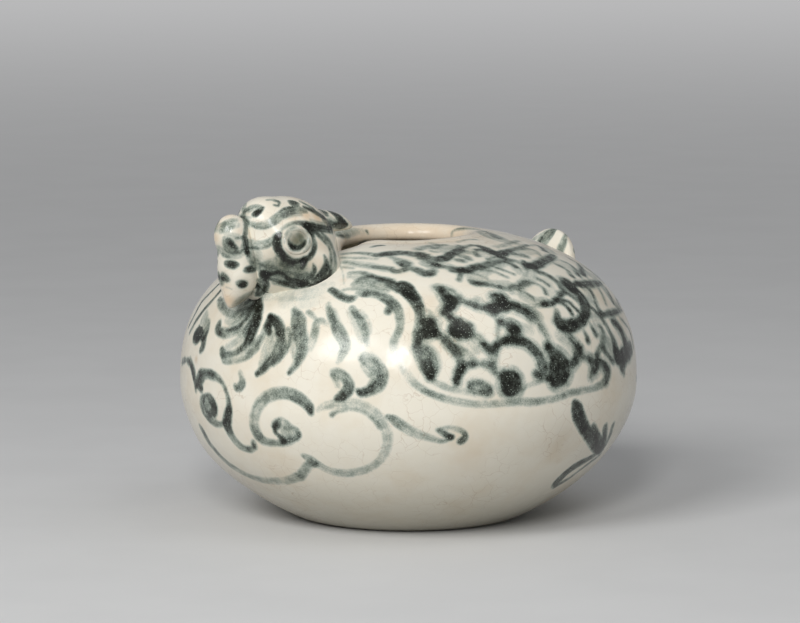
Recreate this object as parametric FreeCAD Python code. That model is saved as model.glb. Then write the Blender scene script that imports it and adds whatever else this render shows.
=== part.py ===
import FreeCAD, Part
import math
import os

# Bird-shaped jar: a squat thrown vessel with a rolled mouth, to which a bird's head and tail
# were luted before glazing. Lengths are in millimetres. Z is up, the beak points to +X,
# the bird's left side is +Y, and the origin is the middle of the foot on the table.

os.makedirs("parts", exist_ok=True)

Vector = FreeCAD.Vector
UP = Vector(0, 0, 1)
SIDEWAYS = Vector(0, 1, 0)

# Vessel body
body_radius = 52.5
belly_height = 30.9
shoulder_height = 64.9
body_wall = 4.0
floor_thickness = 5.2
foot_radius = 25.5
foot_ring_width = 5.0
foot_recess_depth = 1.2
lower_fullness = 1.82
upper_fullness = 2.5
curve_spans = 7

# Rolled lip that lines the mouth
lip_outer_radius = 18.0
lip_width = 5.0
lip_rise = 0.35

# Saddle that a finger pressed into the lip behind the bird's head
saddle_depth = 2.4
saddle_finger_radius = 9.0
saddle_turn = -28.0

# Head: an egg-shaped skull, nose end raised, filled out by a forehead and two cheeks
head_inset = 15.7
chin_rise = 11.7
head_turn = -10.0
skull_half_length = 11.8
skull_radius = 10.3
skull_pitch = 36.0
forehead_forward = 3.6
forehead_rise = 3.6
forehead_half_length = 8.2
forehead_half_width = 7.6
forehead_half_height = 6.4
cheek_setback = 2.0
cheek_spread = 5.0
cheek_drop = 4.9
cheek_half_length = 7.7
cheek_half_width = 7.0
cheek_half_height = 6.9
cheek_pitch = 16.0

# Neck: a swelling throat between the skull and the shoulder
neck_half_height = 12.0
neck_radius = 8.8
neck_setback = 2.6
neck_drop = 11.2

# Beak: a round cere on the forehead, a hooked upper beak and a short lower one
cere_half_length = 4.0
cere_half_width = 4.0
cere_half_height = 4.7
cere_forward = 14.6
cere_rise = 3.1
beak_length = 13.3
beak_forward = 13.2
beak_root_half_length = 4.9
beak_root_half_width = 4.5
beak_hook = 1.9
lower_beak_half_length = 3.0
lower_beak_radius = 2.2
lower_beak_tuck = 1.0

# Crest: a flat tuft that sweeps back from the crown
crest_root_forward = -3.0
crest_root_rise = 5.0
crest_root_half_width = 6.0
crest_root_half_thickness = 3.0
crest_sweep = 12.8
crest_fall = 1.4

# Eyes: raised rings round a sunk middle
eye_azimuth = 70.5
eye_elevation = 13.5
eye_ring_radius = 2.7
eye_ring_thickness_radius = 0.7
eye_hollow_radius = 3.0
eye_hollow_depth = 0.9

# Tail: an upright rounded flap with soft edges
tail_thickness = 4.6
tail_half_width = 8.0
tail_half_height = 10.0
tail_edge_radius = 1.9
tail_inset = 7.1
tail_sink = 0.4
tail_lean = 16.0


# Profile of the vessel

def half_profile(widest, middle, reach, fullness, start_radius, direction):
    """Points of a swelling curve from start_radius out to the widest radius."""
    first = math.asin((start_radius / widest) ** (fullness / 2))
    points = []
    for step in range(curve_spans + 1):
        angle = first + (math.pi / 2 - first) * step / curve_spans
        radius = widest * math.sin(angle) ** (2 / fullness)
        rise = reach * max(math.cos(angle), 0) ** (2 / fullness)
        points.append(Vector(radius, 0, middle + direction * rise))
    return points


def reach_through(widest, fullness, radius, rise):
    """How far the full curve would reach if it passes the given radius at the given rise."""
    return rise / (1 - (radius / widest) ** fullness) ** (1 / fullness)


def shoulder_height_at(radius):
    """Height of the vessel's upper surface at a distance from its axis."""
    reach = reach_through(body_radius, upper_fullness, lip_outer_radius, shoulder_height - belly_height)
    return belly_height + reach * (1 - (radius / body_radius) ** upper_fullness) ** (1 / upper_fullness)


def smooth_edge(points):
    curve = Part.BSplineCurve()
    curve.interpolate(points)
    return curve.toShape()


def swelling_edge(widest, low_radius, low_height, high_radius, high_height):
    """One smooth edge from the low point, out over the belly and in to the high point."""
    low_reach = reach_through(widest, lower_fullness, low_radius, belly_height - low_height)
    high_reach = reach_through(widest, upper_fullness, high_radius, high_height - belly_height)
    low = half_profile(widest, belly_height, low_reach, lower_fullness, low_radius, -1)
    high = half_profile(widest, belly_height, high_reach, upper_fullness, high_radius, 1)
    return smooth_edge(low + high[-2::-1])


def polyline(points):
    return [Part.makeLine(start, end) for start, end in zip(points, points[1:])]


def revolved(edges):
    face = Part.Face(Part.Wire(Part.__sortEdges__(edges)))
    return face.revolve(Vector(0, 0, 0), UP, 360)


outer_edge = swelling_edge(body_radius, foot_radius, 0, lip_outer_radius, shoulder_height)
ceiling_height = shoulder_height - body_wall
inner_edge = swelling_edge(body_radius - body_wall, 0, floor_thickness, lip_outer_radius, ceiling_height)


def body_envelope():
    """The vessel as if it were solid, to trim what is luted onto it."""
    lid = [Vector(lip_outer_radius, 0, shoulder_height), Vector(0, 0, shoulder_height),
           Vector(0, 0, 0), Vector(foot_radius, 0, 0)]
    return revolved([outer_edge] + polyline(lid))


def vessel():
    """The hollow thrown body with a shallow recess turned under its foot."""
    mouth_seat = polyline([Vector(lip_outer_radius, 0, shoulder_height),
                           Vector(lip_outer_radius, 0, ceiling_height)])
    underside = polyline([Vector(0, 0, floor_thickness),
                          Vector(0, 0, foot_recess_depth),
                          Vector(foot_radius - foot_ring_width - foot_recess_depth, 0, foot_recess_depth),
                          Vector(foot_radius - foot_ring_width, 0, 0),
                          Vector(foot_radius, 0, 0)])
    return revolved([outer_edge, inner_edge] + mouth_seat + underside)


def lip():
    """The rolled lip: a rounded band that fills the vessel's mouth seat."""
    mouth_radius = lip_outer_radius - lip_width
    crest_top = shoulder_height + lip_rise
    roll_middle = shoulder_height - body_wall / 2
    outer_top = Vector(lip_outer_radius, 0, shoulder_height)
    crest = Vector(mouth_radius + lip_width / 2, 0, crest_top)
    inner_top = Vector(mouth_radius + lip_width / 8, 0, roll_middle + body_wall / 3)
    inner_middle = Vector(mouth_radius, 0, roll_middle)
    inner_low = Vector(mouth_radius + lip_width / 8, 0, roll_middle - body_wall / 3)
    outer_low = Vector(lip_outer_radius, 0, ceiling_height)
    edges = [Part.Arc(outer_top, crest, inner_top).toShape(),
             Part.Arc(inner_top, inner_middle, inner_low).toShape()]
    return revolved(edges + polyline([inner_low, outer_low, outer_top]))


def saddle():
    """The finger-shaped hollow that lowers the lip and the shoulder behind the head."""
    length = lip_outer_radius + lip_width
    axis_height = shoulder_height + lip_rise - saddle_depth + saddle_finger_radius
    finger = Part.makeCylinder(saddle_finger_radius, length, Vector(0, 0, axis_height), Vector(1, 0, 0))
    finger.rotate(Vector(0, 0, 0), UP, saddle_turn)
    return finger


# Forms of the head, in the head's own frame: x forward, y to the bird's left, z up

head_reach = body_radius - head_inset
chin_forward = beak_forward - beak_root_half_length
head_height = shoulder_height_at(head_reach + chin_forward) + chin_rise


def egg(half_length, half_width, half_height, centre, pitch=0):
    """An egg form; a positive pitch lifts its forward end."""
    matrix = FreeCAD.Matrix()
    matrix.scale(Vector(half_length, half_width, half_height))
    form = Part.makeSphere(1).transformGeometry(matrix)
    form.rotate(Vector(0, 0, 0), SIDEWAYS, -pitch)
    form.translate(centre)
    return form


def ellipse_wire(centre, first_axis, first_half, second_half):
    """A level or tilted ellipse; its first half-axis lies along first_axis in the XZ plane."""
    normal = first_axis.cross(SIDEWAYS)
    if first_half >= second_half:
        frame_x = first_axis
        large, small = first_half, second_half
    else:
        frame_x = SIDEWAYS
        large, small = second_half, first_half
    ellipse = Part.Ellipse(Vector(0, 0, 0), large, small)
    edge = ellipse.toShape()
    turn = FreeCAD.Rotation(frame_x, normal.cross(frame_x), normal, "ZXY")
    edge.Placement = FreeCAD.Placement(centre, turn)
    return Part.Wire([edge])


def in_head_place(form):
    placed = form.copy()
    placed.rotate(Vector(0, 0, 0), UP, head_turn)
    placed.translate(Vector(head_reach, 0, head_height))
    return placed


def skull_form():
    core = egg(skull_half_length, skull_radius, skull_radius, Vector(0, 0, 0), skull_pitch)
    forehead = egg(forehead_half_length, forehead_half_width, forehead_half_height,
                   Vector(forehead_forward, 0, forehead_rise), skull_pitch)
    cheeks = [egg(cheek_half_length, cheek_half_width, cheek_half_height,
                  Vector(-cheek_setback, side * cheek_spread, -cheek_drop), cheek_pitch) for side in (1, -1)]
    return core.fuse([forehead] + cheeks)


def cere_form():
    return egg(cere_half_length, cere_half_width, cere_half_height, Vector(cere_forward, 0, cere_rise))


# Sections of the upper beak, as shares: drop along its length, forward shift of the hook,
# half-length and half-width of the root
beak_section_shares = [
    (0.00, -0.2, 0.62, 0.74),
    (0.28, 0.0, 0.86, 0.92),
    (0.55, -0.1, 1.00, 1.00),
    (0.76, 0.1, 0.82, 0.82),
    (0.91, 0.6, 0.46, 0.50),
]


def beak_form():
    """The upper beak hangs from the cere and hooks forward at its tip."""
    top = cere_rise
    wires = []
    for drop_share, hook_share, length_share, width_share in beak_section_shares:
        centre = Vector(beak_forward + hook_share * beak_hook, 0, top - drop_share * (beak_length + top))
        wires.append(ellipse_wire(centre, Vector(1, 0, 0), length_share * beak_root_half_length,
                                  width_share * beak_root_half_width))
    tip = Part.Vertex(Vector(beak_forward + beak_hook, 0, -beak_length))
    return Part.makeLoft(wires + [tip], True)


def lower_beak_form():
    """Short and round, tucked behind the root of the upper beak and under the skull."""
    centre = Vector(chin_forward, 0, lower_beak_tuck - skull_radius)
    return egg(lower_beak_half_length, lower_beak_radius, lower_beak_radius, centre)


# Sections of the crest, as shares: sweep, fall, half-width and half-thickness
crest_section_shares = [
    (0.00, 0.0, 1.00, 1.00),
    (0.35, -0.2, 0.95, 0.90),
    (0.70, 0.2, 0.66, 0.62),
    (0.90, 0.7, 0.34, 0.34),
]


def crest_form():
    """The tuft lies back from the crown and narrows to a point above the lip."""
    wires = []
    for sweep_share, fall_share, width_share, thickness_share in crest_section_shares:
        centre = Vector(crest_root_forward - sweep_share * crest_sweep, 0,
                        crest_root_rise - fall_share * crest_fall)
        wires.append(ellipse_wire(centre, UP, thickness_share * crest_root_half_thickness,
                                  width_share * crest_root_half_width))
    tip = Part.Vertex(Vector(crest_root_forward - crest_sweep, 0, crest_root_rise - crest_fall))
    return Part.makeLoft(wires + [tip], True)


def eye_direction(side):
    azimuth = math.radians(eye_azimuth) * side
    elevation = math.radians(eye_elevation)
    return Vector(math.cos(elevation) * math.cos(azimuth), math.cos(elevation) * math.sin(azimuth),
                  math.sin(elevation))


def skull_surface_distance(direction):
    """How far the skull's surface lies from the head's middle along a direction."""
    pitch = math.radians(skull_pitch)
    along = direction.x * math.cos(pitch) + direction.z * math.sin(pitch)
    return 1 / math.sqrt((along / skull_half_length) ** 2 + (1 - along ** 2) / skull_radius ** 2)


def eye_ring_form(side):
    """A raised ring whose middle line sinks just under the skull's surface."""
    direction = eye_direction(side)
    sink = eye_ring_radius ** 2 / (2 * skull_radius)
    centre = direction * (skull_surface_distance(direction) - sink)
    return Part.makeTorus(eye_ring_radius, eye_ring_thickness_radius, centre, direction)


def eye_hollow_form(side):
    """The sunk middle of an eye, a small round dent."""
    direction = eye_direction(side)
    distance = skull_surface_distance(direction) - eye_hollow_depth + eye_hollow_radius
    return Part.makeSphere(eye_hollow_radius, direction * distance)


def neck_form():
    """An upright egg that is mostly hidden in the shoulder and the skull."""
    return egg(neck_radius, neck_radius, neck_half_height, Vector(head_reach - neck_setback, 0, head_height - neck_drop))


def tail_form():
    """The tail flap stands up from the rear shoulder and leans back a little."""
    outline = ellipse_wire(Vector(-tail_thickness / 2, 0, 0), UP, tail_half_height, tail_half_width)
    flap = Part.Face(outline).extrude(Vector(tail_thickness, 0, 0))
    form = flap.makeFillet(min(tail_edge_radius, tail_thickness / 2.1), flap.Edges)
    form.rotate(Vector(0, 0, 0), SIDEWAYS, -tail_lean)
    tail_reach = body_radius - tail_inset
    form.translate(Vector(-tail_reach, 0, shoulder_height_at(tail_reach) - tail_sink))
    return form


# Pieces: each one is trimmed by those it was pressed onto, so they meet face to face

envelope = body_envelope()
pressed = saddle()
skull = in_head_place(skull_form())
cere = in_head_place(cere_form())
beak = in_head_place(beak_form())
neck = neck_form()
hollows = [in_head_place(eye_hollow_form(side)) for side in (1, -1)]

pieces = {
    "vessel_body": vessel().cut(pressed),
    "mouth_lip": lip().cut(pressed),
    "neck": neck.cut([envelope]),
    "head": skull.cut([envelope, neck] + hollows),
    "cere": cere.cut([skull]),
    "beak_upper": beak.cut([skull, cere, neck, envelope]),
    "beak_lower": in_head_place(lower_beak_form()).cut([skull, beak, neck, envelope]),
    "crest": in_head_place(crest_form()).cut([skull]),
    "eye_ring_left": in_head_place(eye_ring_form(1)).cut([skull] + hollows),
    "eye_ring_right": in_head_place(eye_ring_form(-1)).cut([skull] + hollows),
    "tail": tail_form().cut([envelope]),
}

for node, shape in pieces.items():
    solids = sorted(shape.Solids, key=lambda solid: solid.Volume)
    piece = solids[-1]
    piece.exportStep("parts/" + node + ".step")
    print(node, "solids", len(solids), "volume", round(piece.Volume, 1), "valid", piece.isValid())
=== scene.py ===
import bpy
import bmesh
import math
import numpy as np
from mathutils import Matrix, Vector
from mathutils.bvhtree import BVHTree


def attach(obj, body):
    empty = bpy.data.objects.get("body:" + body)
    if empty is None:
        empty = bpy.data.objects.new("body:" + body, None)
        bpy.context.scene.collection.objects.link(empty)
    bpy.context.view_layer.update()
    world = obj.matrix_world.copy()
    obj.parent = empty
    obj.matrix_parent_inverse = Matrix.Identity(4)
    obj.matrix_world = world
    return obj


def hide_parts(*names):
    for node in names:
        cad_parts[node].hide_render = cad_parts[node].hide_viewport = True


# Bird-shaped jar: the glazed clay forms and their underglaze brush painting.
# Lengths are millimetres, the meshes are made in metres, and strokes and tints are placed by
# the photograph's pixels. Z is up, the beak points to +X, the bird's left side is +Y.

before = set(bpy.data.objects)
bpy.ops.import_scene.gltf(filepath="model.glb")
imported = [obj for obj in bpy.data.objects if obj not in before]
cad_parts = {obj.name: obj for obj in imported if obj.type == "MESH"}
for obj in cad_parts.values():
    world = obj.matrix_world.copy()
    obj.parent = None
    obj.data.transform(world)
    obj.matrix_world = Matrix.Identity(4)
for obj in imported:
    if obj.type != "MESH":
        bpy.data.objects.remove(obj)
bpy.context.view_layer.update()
MM = 0.001

bpy.ops.object.select_all(action="DESELECT")


# Camera

AIM = np.array([0.0, 0.0, 31.0])
CAMERA_TURN = math.radians(47.0)
CAMERA_RISE = math.radians(8.5)
CAMERA_DISTANCE = 1000.0
SENSOR_WIDTH = 36.0
FOCAL_PIXELS = 4350.0
IMAGE_WIDTH, IMAGE_HEIGHT = 800, 623
AIM_PIXEL = (408.5, 378.8)
PIXEL = CAMERA_DISTANCE / FOCAL_PIXELS

toward_camera = np.array([math.cos(CAMERA_RISE) * math.cos(CAMERA_TURN),
                          math.cos(CAMERA_RISE) * math.sin(CAMERA_TURN), math.sin(CAMERA_RISE)])
camera_right = np.array([-math.sin(CAMERA_TURN), math.cos(CAMERA_TURN), 0.0])
camera_up = np.cross(toward_camera, camera_right)
camera_place = AIM + CAMERA_DISTANCE * toward_camera


def make_camera():
    data = bpy.data.cameras.new("camera")
    data.sensor_width = SENSOR_WIDTH
    data.lens = FOCAL_PIXELS / IMAGE_WIDTH * data.sensor_width
    data.shift_x = (IMAGE_WIDTH / 2 - AIM_PIXEL[0]) / IMAGE_WIDTH
    data.shift_y = (AIM_PIXEL[1] - IMAGE_HEIGHT / 2) / IMAGE_WIDTH
    data.clip_start = 0.01
    data.clip_end = 50.0
    camera = bpy.data.objects.new("camera", data)
    bpy.context.scene.collection.objects.link(camera)
    columns = (Vector(camera_right), Vector(camera_up), Vector(toward_camera))
    turn = Matrix(columns).transposed()
    camera.matrix_world = Matrix.Translation(Vector(camera_place * MM)) @ turn.to_4x4()
    bpy.context.scene.camera = camera


def sight_line(x, y):
    """Direction in which the photographed pixel is seen."""
    across = (x - AIM_PIXEL[0]) / FOCAL_PIXELS
    up = (AIM_PIXEL[1] - y) / FOCAL_PIXELS
    line = camera_right * across + camera_up * up - toward_camera
    return line / np.linalg.norm(line)


# Small helpers for curves and meshes

def bump(value, middle, reach):
    """A smooth hill of height 1 at the middle that is nearly gone at the reach."""
    return np.exp(-2.5 * ((value - middle) / reach) ** 2)


def ramp(value, low, high):
    share = np.clip((value - low) / (high - low), 0, 1)
    return share * share * (3 - 2 * share)


def turned(first, second, angle):
    """Two measures turned by an angle from the first toward the second."""
    return (first * math.cos(angle) - second * math.sin(angle),
            first * math.sin(angle) + second * math.cos(angle))


def weave(p0, p1, p2, p3, t):
    """A smooth curve from p1 to p2 that heads on from p0 and toward p3."""
    return 0.5 * (2 * p1 + (p2 - p0) * t + (2 * p0 - 5 * p1 + 4 * p2 - p3) * t ** 2
                  + (3 * p1 - p0 - 3 * p2 + p3) * t ** 3)


def with_ends(rows):
    """The rows with one more at each end, in line with the last two."""
    return np.r_[[2 * rows[0] - rows[1]], rows, [2 * rows[-1] - rows[-2]]]


def lengths_along(line):
    return np.r_[0, np.cumsum(np.linalg.norm(np.diff(line, axis=0), axis=1))]


def rows_of(items, key):
    """A three-part property of all the items, one row each."""
    flat = np.empty(len(items) * 3)
    items.foreach_get(key, flat)
    return flat.reshape(-1, 3)


def places_of(piece):
    return rows_of(piece.data.vertices, "co") / MM


def place(piece, points):
    piece.data.vertices.foreach_set("co", (points * MM).ravel())
    piece.data.update()


def keep(piece, name, values):
    """Keep a value, or a row of three, for each vertex of the piece."""
    single = values.ndim == 1
    kept = piece.data.attributes.new(name, "FLOAT" if single else "FLOAT_VECTOR", "POINT")
    kept.data.foreach_set("value" if single else "vector", values.astype(np.float32).ravel())


def named(piece, name):
    piece.name = name
    piece.data.name = name
    return piece


def tidy_mesh(piece, gap=1e-7):
    """Merge doubles and turn the faces outward."""
    bpy.ops.object.select_all(action="DESELECT")
    piece.select_set(True)
    bpy.context.view_layer.objects.active = piece
    bpy.ops.object.mode_set(mode="EDIT")
    bpy.ops.mesh.select_all(action="SELECT")
    bpy.ops.mesh.remove_doubles(threshold=gap)
    bpy.ops.mesh.normals_make_consistent(inside=False)
    bpy.ops.object.mode_set(mode="OBJECT")
    bpy.ops.object.shade_smooth()
    piece.select_set(False)


def finish_skin(piece):
    """Drop the primitive's map and tidy the mesh."""
    while piece.data.uv_layers:
        piece.data.uv_layers.remove(piece.data.uv_layers[0])
    tidy_mesh(piece)
    return piece


# Vessel, thrown in one section and then pressed by hand

BODY_RADIUS = 52.5
BELLY_HEIGHT = 30.9
SHOULDER_HEIGHT = 64.9
MOUTH_SEAT, SEAT_HEIGHT = 18.0, 63.0
WALL = 4.0
FLOOR = 5.2
FOOT_RADIUS = 25.5
LOW_FULLNESS, HIGH_FULLNESS = 1.82, 2.5
CURVE_STEPS = 4000
FINE_ROWS, COARSE_ROWS, INNER_ROWS = 300, 10, 40
OUTER_ROWS = FINE_ROWS + COARSE_ROWS - 1
FINE_SHARE, COARSE_SHARE = 0.90, 0.985
WALL_COLUMNS = 262
# Each part of the wall from its first to its last turn, in degrees
WALL_PARTS = [("breast", -36, 36), ("wing_left", 36, 108), ("flank_left", 108, 180),
              ("flank_right", 180, 252), ("wing_right", 252, 324)]
# Foot ring and recess: radius and height
FOOT = [(25.2, 0.15), (24.6, 0.0), (21.2, 0.0), (20.4, 0.25), (19.4, 1.05), (18.6, 1.2),
        (14.0, 1.2), (9.0, 1.2), (4.0, 1.2), (0.0, 1.2)]
# Rolled lip: radius and height, its top a soft arc and its foot in the wall's seat
LIP = [(18.0, 64.86), (17.3, 65.0), (16.4, 65.18), (15.4, 65.22), (14.5, 64.98), (13.8, 64.5),
       (13.3, 63.8), (13.05, 63.0), (13.15, 62.2), (13.7, 61.6), (14.8, 61.2), (16.2, 61.05),
       (17.8, 61.1), (18.2, 62.0), (18.2, 63.6)]
LIP_ROWS, LIP_COLUMNS = 60, 420

PUSH_TURN = math.radians(-22.0)
PUSH_DEPTH, PUSH_HALF_WIDTH = 2.9, 15.0
# Soft hollows: bearing, depth, half-width, middle and half-length
THUMB_HOLLOW = (math.radians(-16.0), 10.0, 10.0, 22.0, 11.0)
NEAR_HOLLOW = (math.radians(45.0), 0.45, 18.0, 17.0, 9.0)
# Clay drawn up round the neck: its middle, radius, height and width
NECK_FOOT, NECK_FOOT_RADIUS = (38.5, -0.6), 8.0
MOUND_HEIGHT, MOUND_WIDTH, MOUND_SHARE = 0.6, 6.0, 0.75
# The lean of the low belly, toward a bearing, and the wobble of a hand-turned wall
LEAN_DEPTH, LEAN_HEIGHT, LEAN_SPREAD, LEAN_TURN = 0.9, 14, 12, 0.75
WOBBLE_DEPTH, WOBBLE_TURN = 0.12, 0.6


def swelling(widest, low_radius, low_height, high_radius, high_height):
    """Section of the thrown wall from the low point, out over the belly, in to the high point."""
    share = np.linspace(0, 1, CURVE_STEPS)

    def quarter(end_radius, end_height, fullness):
        """Radius and height from the end of the curve to the belly."""
        reach = (end_height - BELLY_HEIGHT) / (1 - (end_radius / widest) ** fullness) ** (1 / fullness)
        first = math.asin((end_radius / widest) ** (fullness / 2))
        angle = first + (math.pi / 2 - first) * share
        return np.c_[widest * np.sin(angle) ** (2 / fullness),
                     BELLY_HEIGHT + reach * np.clip(np.cos(angle), 0, 1) ** (2 / fullness)]

    lower = quarter(low_radius, low_height, LOW_FULLNESS)
    upper = quarter(high_radius, high_height, HIGH_FULLNESS)[::-1]
    return np.r_[lower, upper[1:]]


def even_spacing(line, stations):
    """Points of the line at the given shares of its length."""
    length = lengths_along(line)
    at = np.asarray(stations) * length[-1]
    return np.c_[np.interp(at, length, line[:, 0]), np.interp(at, length, line[:, 1])]


outer_curve = swelling(BODY_RADIUS, FOOT_RADIUS, 0.0, MOUTH_SEAT, SHOULDER_HEIGHT)


def wall_section():
    """The whole section of the wall as one closed loop of radius and height."""
    inside = swelling(BODY_RADIUS - WALL, 0.0, FLOOR, MOUTH_SEAT, SHOULDER_HEIGHT - WALL)
    fine = np.linspace(0, FINE_SHARE, FINE_ROWS)
    coarse = np.linspace(FINE_SHARE, COARSE_SHARE, COARSE_ROWS)
    outer = even_spacing(outer_curve[::-1], np.r_[fine, coarse[1:]])
    inner = even_spacing(inside, np.linspace(0, 1, INNER_ROWS))
    loop = np.r_[outer, np.array(FOOT), inner, [[MOUTH_SEAT, SEAT_HEIGHT]]]
    return np.r_[loop, loop[:1]]


wall_rows = wall_section()


def pressed_hollow(x, y, turn, depth, half_width, middle, half_length):
    """Depth of a soft hollow that lies along a bearing from the jar's axis."""
    along, across = turned(x, y, -turn)
    return depth * bump(across, 0, half_width) * bump(along, middle, half_length)


def settle(points):
    """What the hand did after throwing: the finger's saddle in the lip, the clay drawn up round
    the neck, and a slight lean of the belly."""
    x, y, z = points.T.copy()
    along, across = turned(x, y, -PUSH_TURN)
    high = ramp(z, 50, 60)
    pushed = PUSH_DEPTH * high * bump(across, 0, PUSH_HALF_WIDTH)
    pushed *= ramp(along, 2, 11) * (1 - ramp(along, 15, 31))
    x += pushed * math.cos(PUSH_TURN)
    y += pushed * math.sin(PUSH_TURN)
    z -= high * pressed_hollow(x, y, *THUMB_HOLLOW)
    z -= high * pressed_hollow(x, y, *NEAR_HOLLOW)
    radius = np.hypot(x, y) + 1e-9
    neck_gap = np.hypot(x - NECK_FOOT[0], y - NECK_FOOT[1])
    beside_neck = bump(np.maximum(neck_gap - NECK_FOOT_RADIUS, 0), 0, MOUND_WIDTH)
    mound = MOUND_HEIGHT * ramp(z, 40, 50) * beside_neck * ramp(x, 30, 42)
    turn = np.arctan2(y, x)
    fuller = LEAN_DEPTH * bump(z, LEAN_HEIGHT, LEAN_SPREAD)
    fuller *= np.clip(np.cos(turn + LEAN_TURN), 0, 1) ** 2 * ramp(radius, 24, 30)
    wobble = WOBBLE_DEPTH * np.sin(2 * turn + WOBBLE_TURN) * ramp(radius, 24, 40)
    grow = fuller + wobble + MOUND_SHARE * mound
    x += x / radius * grow
    y += y / radius * grow
    z += MOUND_SHARE * mound
    return np.c_[x, y, z]


def grid_piece(name, columns, rows):
    """A grid primitive; returns the object and each vertex's column and row share."""
    bpy.ops.mesh.primitive_grid_add(x_subdivisions=columns, y_subdivisions=rows, size=2, calc_uvs=True)
    piece = named(bpy.context.active_object, name)
    piece.data.uv_layers[0].name = "OFBake"
    spots = rows_of(piece.data.vertices, "co")
    return piece, spots[:, 0] / 2 + 0.5, spots[:, 1] / 2 + 0.5


def revolve(section, share_row, turn):
    row = share_row * (len(section) - 1)
    low = np.clip(np.floor(row + 1e-6).astype(int), 0, len(section) - 2)
    part = (row - low)[:, None]
    at = section[low] * (1 - part) + section[low + 1] * part
    return np.c_[at[:, 0] * np.cos(turn), at[:, 0] * np.sin(turn), at[:, 1]]


def section_normals(section, share_row, turn):
    """Normals of the settled wall, measured a little to each side so neighbours agree."""
    small = 0.15 / (len(section) - 1)
    step = 0.002

    def at(row, bearing):
        return settle(revolve(section, row, bearing))

    rise = at(np.clip(share_row + small, 0, 1), turn) - at(np.clip(share_row - small, 0, 1), turn)
    swing = at(share_row, turn + step) - at(share_row, turn - step)
    normal = np.cross(rise, swing)
    length = np.linalg.norm(normal, axis=1, keepdims=True)
    return normal / np.maximum(length, 1e-12)


def make_wall_part(name, first_degrees, last_degrees):
    """One fifth of the thrown wall, closed all round, with smooth joints to its neighbours."""
    piece, share_turn, share_row = grid_piece(name, WALL_COLUMNS, len(wall_rows) - 1)
    turn = np.radians(first_degrees + (last_degrees - first_degrees) * share_turn)
    place(piece, settle(revolve(wall_rows, share_row, turn)))
    mesh = piece.data
    keep(piece, "wall_normal", section_normals(wall_rows, share_row, turn))
    shell = bmesh.new()
    shell.from_mesh(mesh)
    shell.verts.ensure_lookup_table()
    order = np.argsort(share_row, kind="stable")
    for edge_share in (0.0, 1.0):
        column = [shell.verts[int(i)] for i in order if abs(share_turn[i] - edge_share) < 1e-6]
        cap = shell.faces.new(column[:-1])
        cap.material_index = 1
    bmesh.ops.remove_doubles(shell, verts=shell.verts[:], dist=1e-7)
    bmesh.ops.recalc_face_normals(shell, faces=shell.faces[:])
    shell.to_mesh(mesh)
    shell.free()
    return piece


def shade_as_one(piece):
    """Give the faces of a wall part the whole wall's normals, and the joint faces their own."""
    mesh = piece.data
    mesh.shade_smooth()
    vertex = np.empty(len(mesh.loops), int)
    mesh.loops.foreach_get("vertex_index", vertex)
    corner = rows_of(mesh.attributes["wall_normal"].data, "vector")[vertex]
    own = rows_of(mesh.corner_normals, "vector")
    flip = np.sign((corner * own).sum(1, keepdims=True))
    corner = corner * np.where(flip == 0, 1, flip)
    starts, totals, kind = (np.empty(len(mesh.polygons), int) for _ in range(3))
    mesh.polygons.foreach_get("loop_start", starts)
    mesh.polygons.foreach_get("loop_total", totals)
    mesh.polygons.foreach_get("material_index", kind)
    faces = rows_of(mesh.polygons, "normal")
    for face in np.flatnonzero(kind == 1):
        corner[starts[face]:starts[face] + totals[face]] = faces[face]
    mesh.polygons.foreach_set("material_index", np.zeros(len(mesh.polygons), int))
    mesh.normals_split_custom_set(corner.astype(np.float32))
    mesh.attributes.remove(mesh.attributes["wall_normal"])


def closed_curve(corners, count):
    """A smooth closed curve through the corners."""
    n = len(corners)
    at = np.linspace(0, n, count, endpoint=False)
    whole = np.floor(at).astype(int)
    p0, p1, p2, p3 = (corners[(whole + k) % n] for k in (-1, 0, 1, 2))
    return weave(p0, p1, p2, p3, (at - whole)[:, None])


def make_lip():
    loop = closed_curve(np.array(LIP), LIP_ROWS)
    section = np.r_[loop, loop[:1]]
    piece, share_turn, share_row = grid_piece("mouth_lip_roll", LIP_COLUMNS, len(section) - 1)
    place(piece, settle(revolve(section, share_row, 2 * math.pi * share_turn)))
    tidy_mesh(piece)
    return piece


# Head, in its own frame: x toward the beak, y to the bird's left, z up

HEAD_PLACE = np.array([36.8, 0.0, 64.67])
HEAD_TURN = math.radians(-10.0)
SKULL_PITCH = 36.0
CHEEK_PITCH = 16.0
SKULL_HALF_LENGTH, SKULL_RADIUS = 11.8, 10.3
EYE_TURN, EYE_RISE = math.radians(70.5), math.radians(13.5)
EYE_SINK = 0.42
RING_RADIUS, RING_ROLL = 2.60, 0.72
# Lumps of the skull: place, half-sizes and pitch, from the egg to the throat
SKULL_LUMPS = [
    ((0.2, 0, 0.2), (12.1, 10.7, 10.7), SKULL_PITCH), ((4.0, 0, 4.0), (8.7, 8.1, 7.0), SKULL_PITCH),
    ((-1.8, 4.6, -4.9), (8.4, 7.9, 7.6), CHEEK_PITCH), ((-1.8, -4.6, -4.9), (8.4, 7.9, 7.6), CHEEK_PITCH),
    ((3.6, 2.4, -3.4), (7.6, 6.8, 7.2), CHEEK_PITCH), ((3.6, -2.4, -3.4), (7.6, 6.8, 7.2), CHEEK_PITCH),
    ((-2.6, 0.4, -11.5), (8.8, 8.8, 9.6), 0.0),
]
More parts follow.
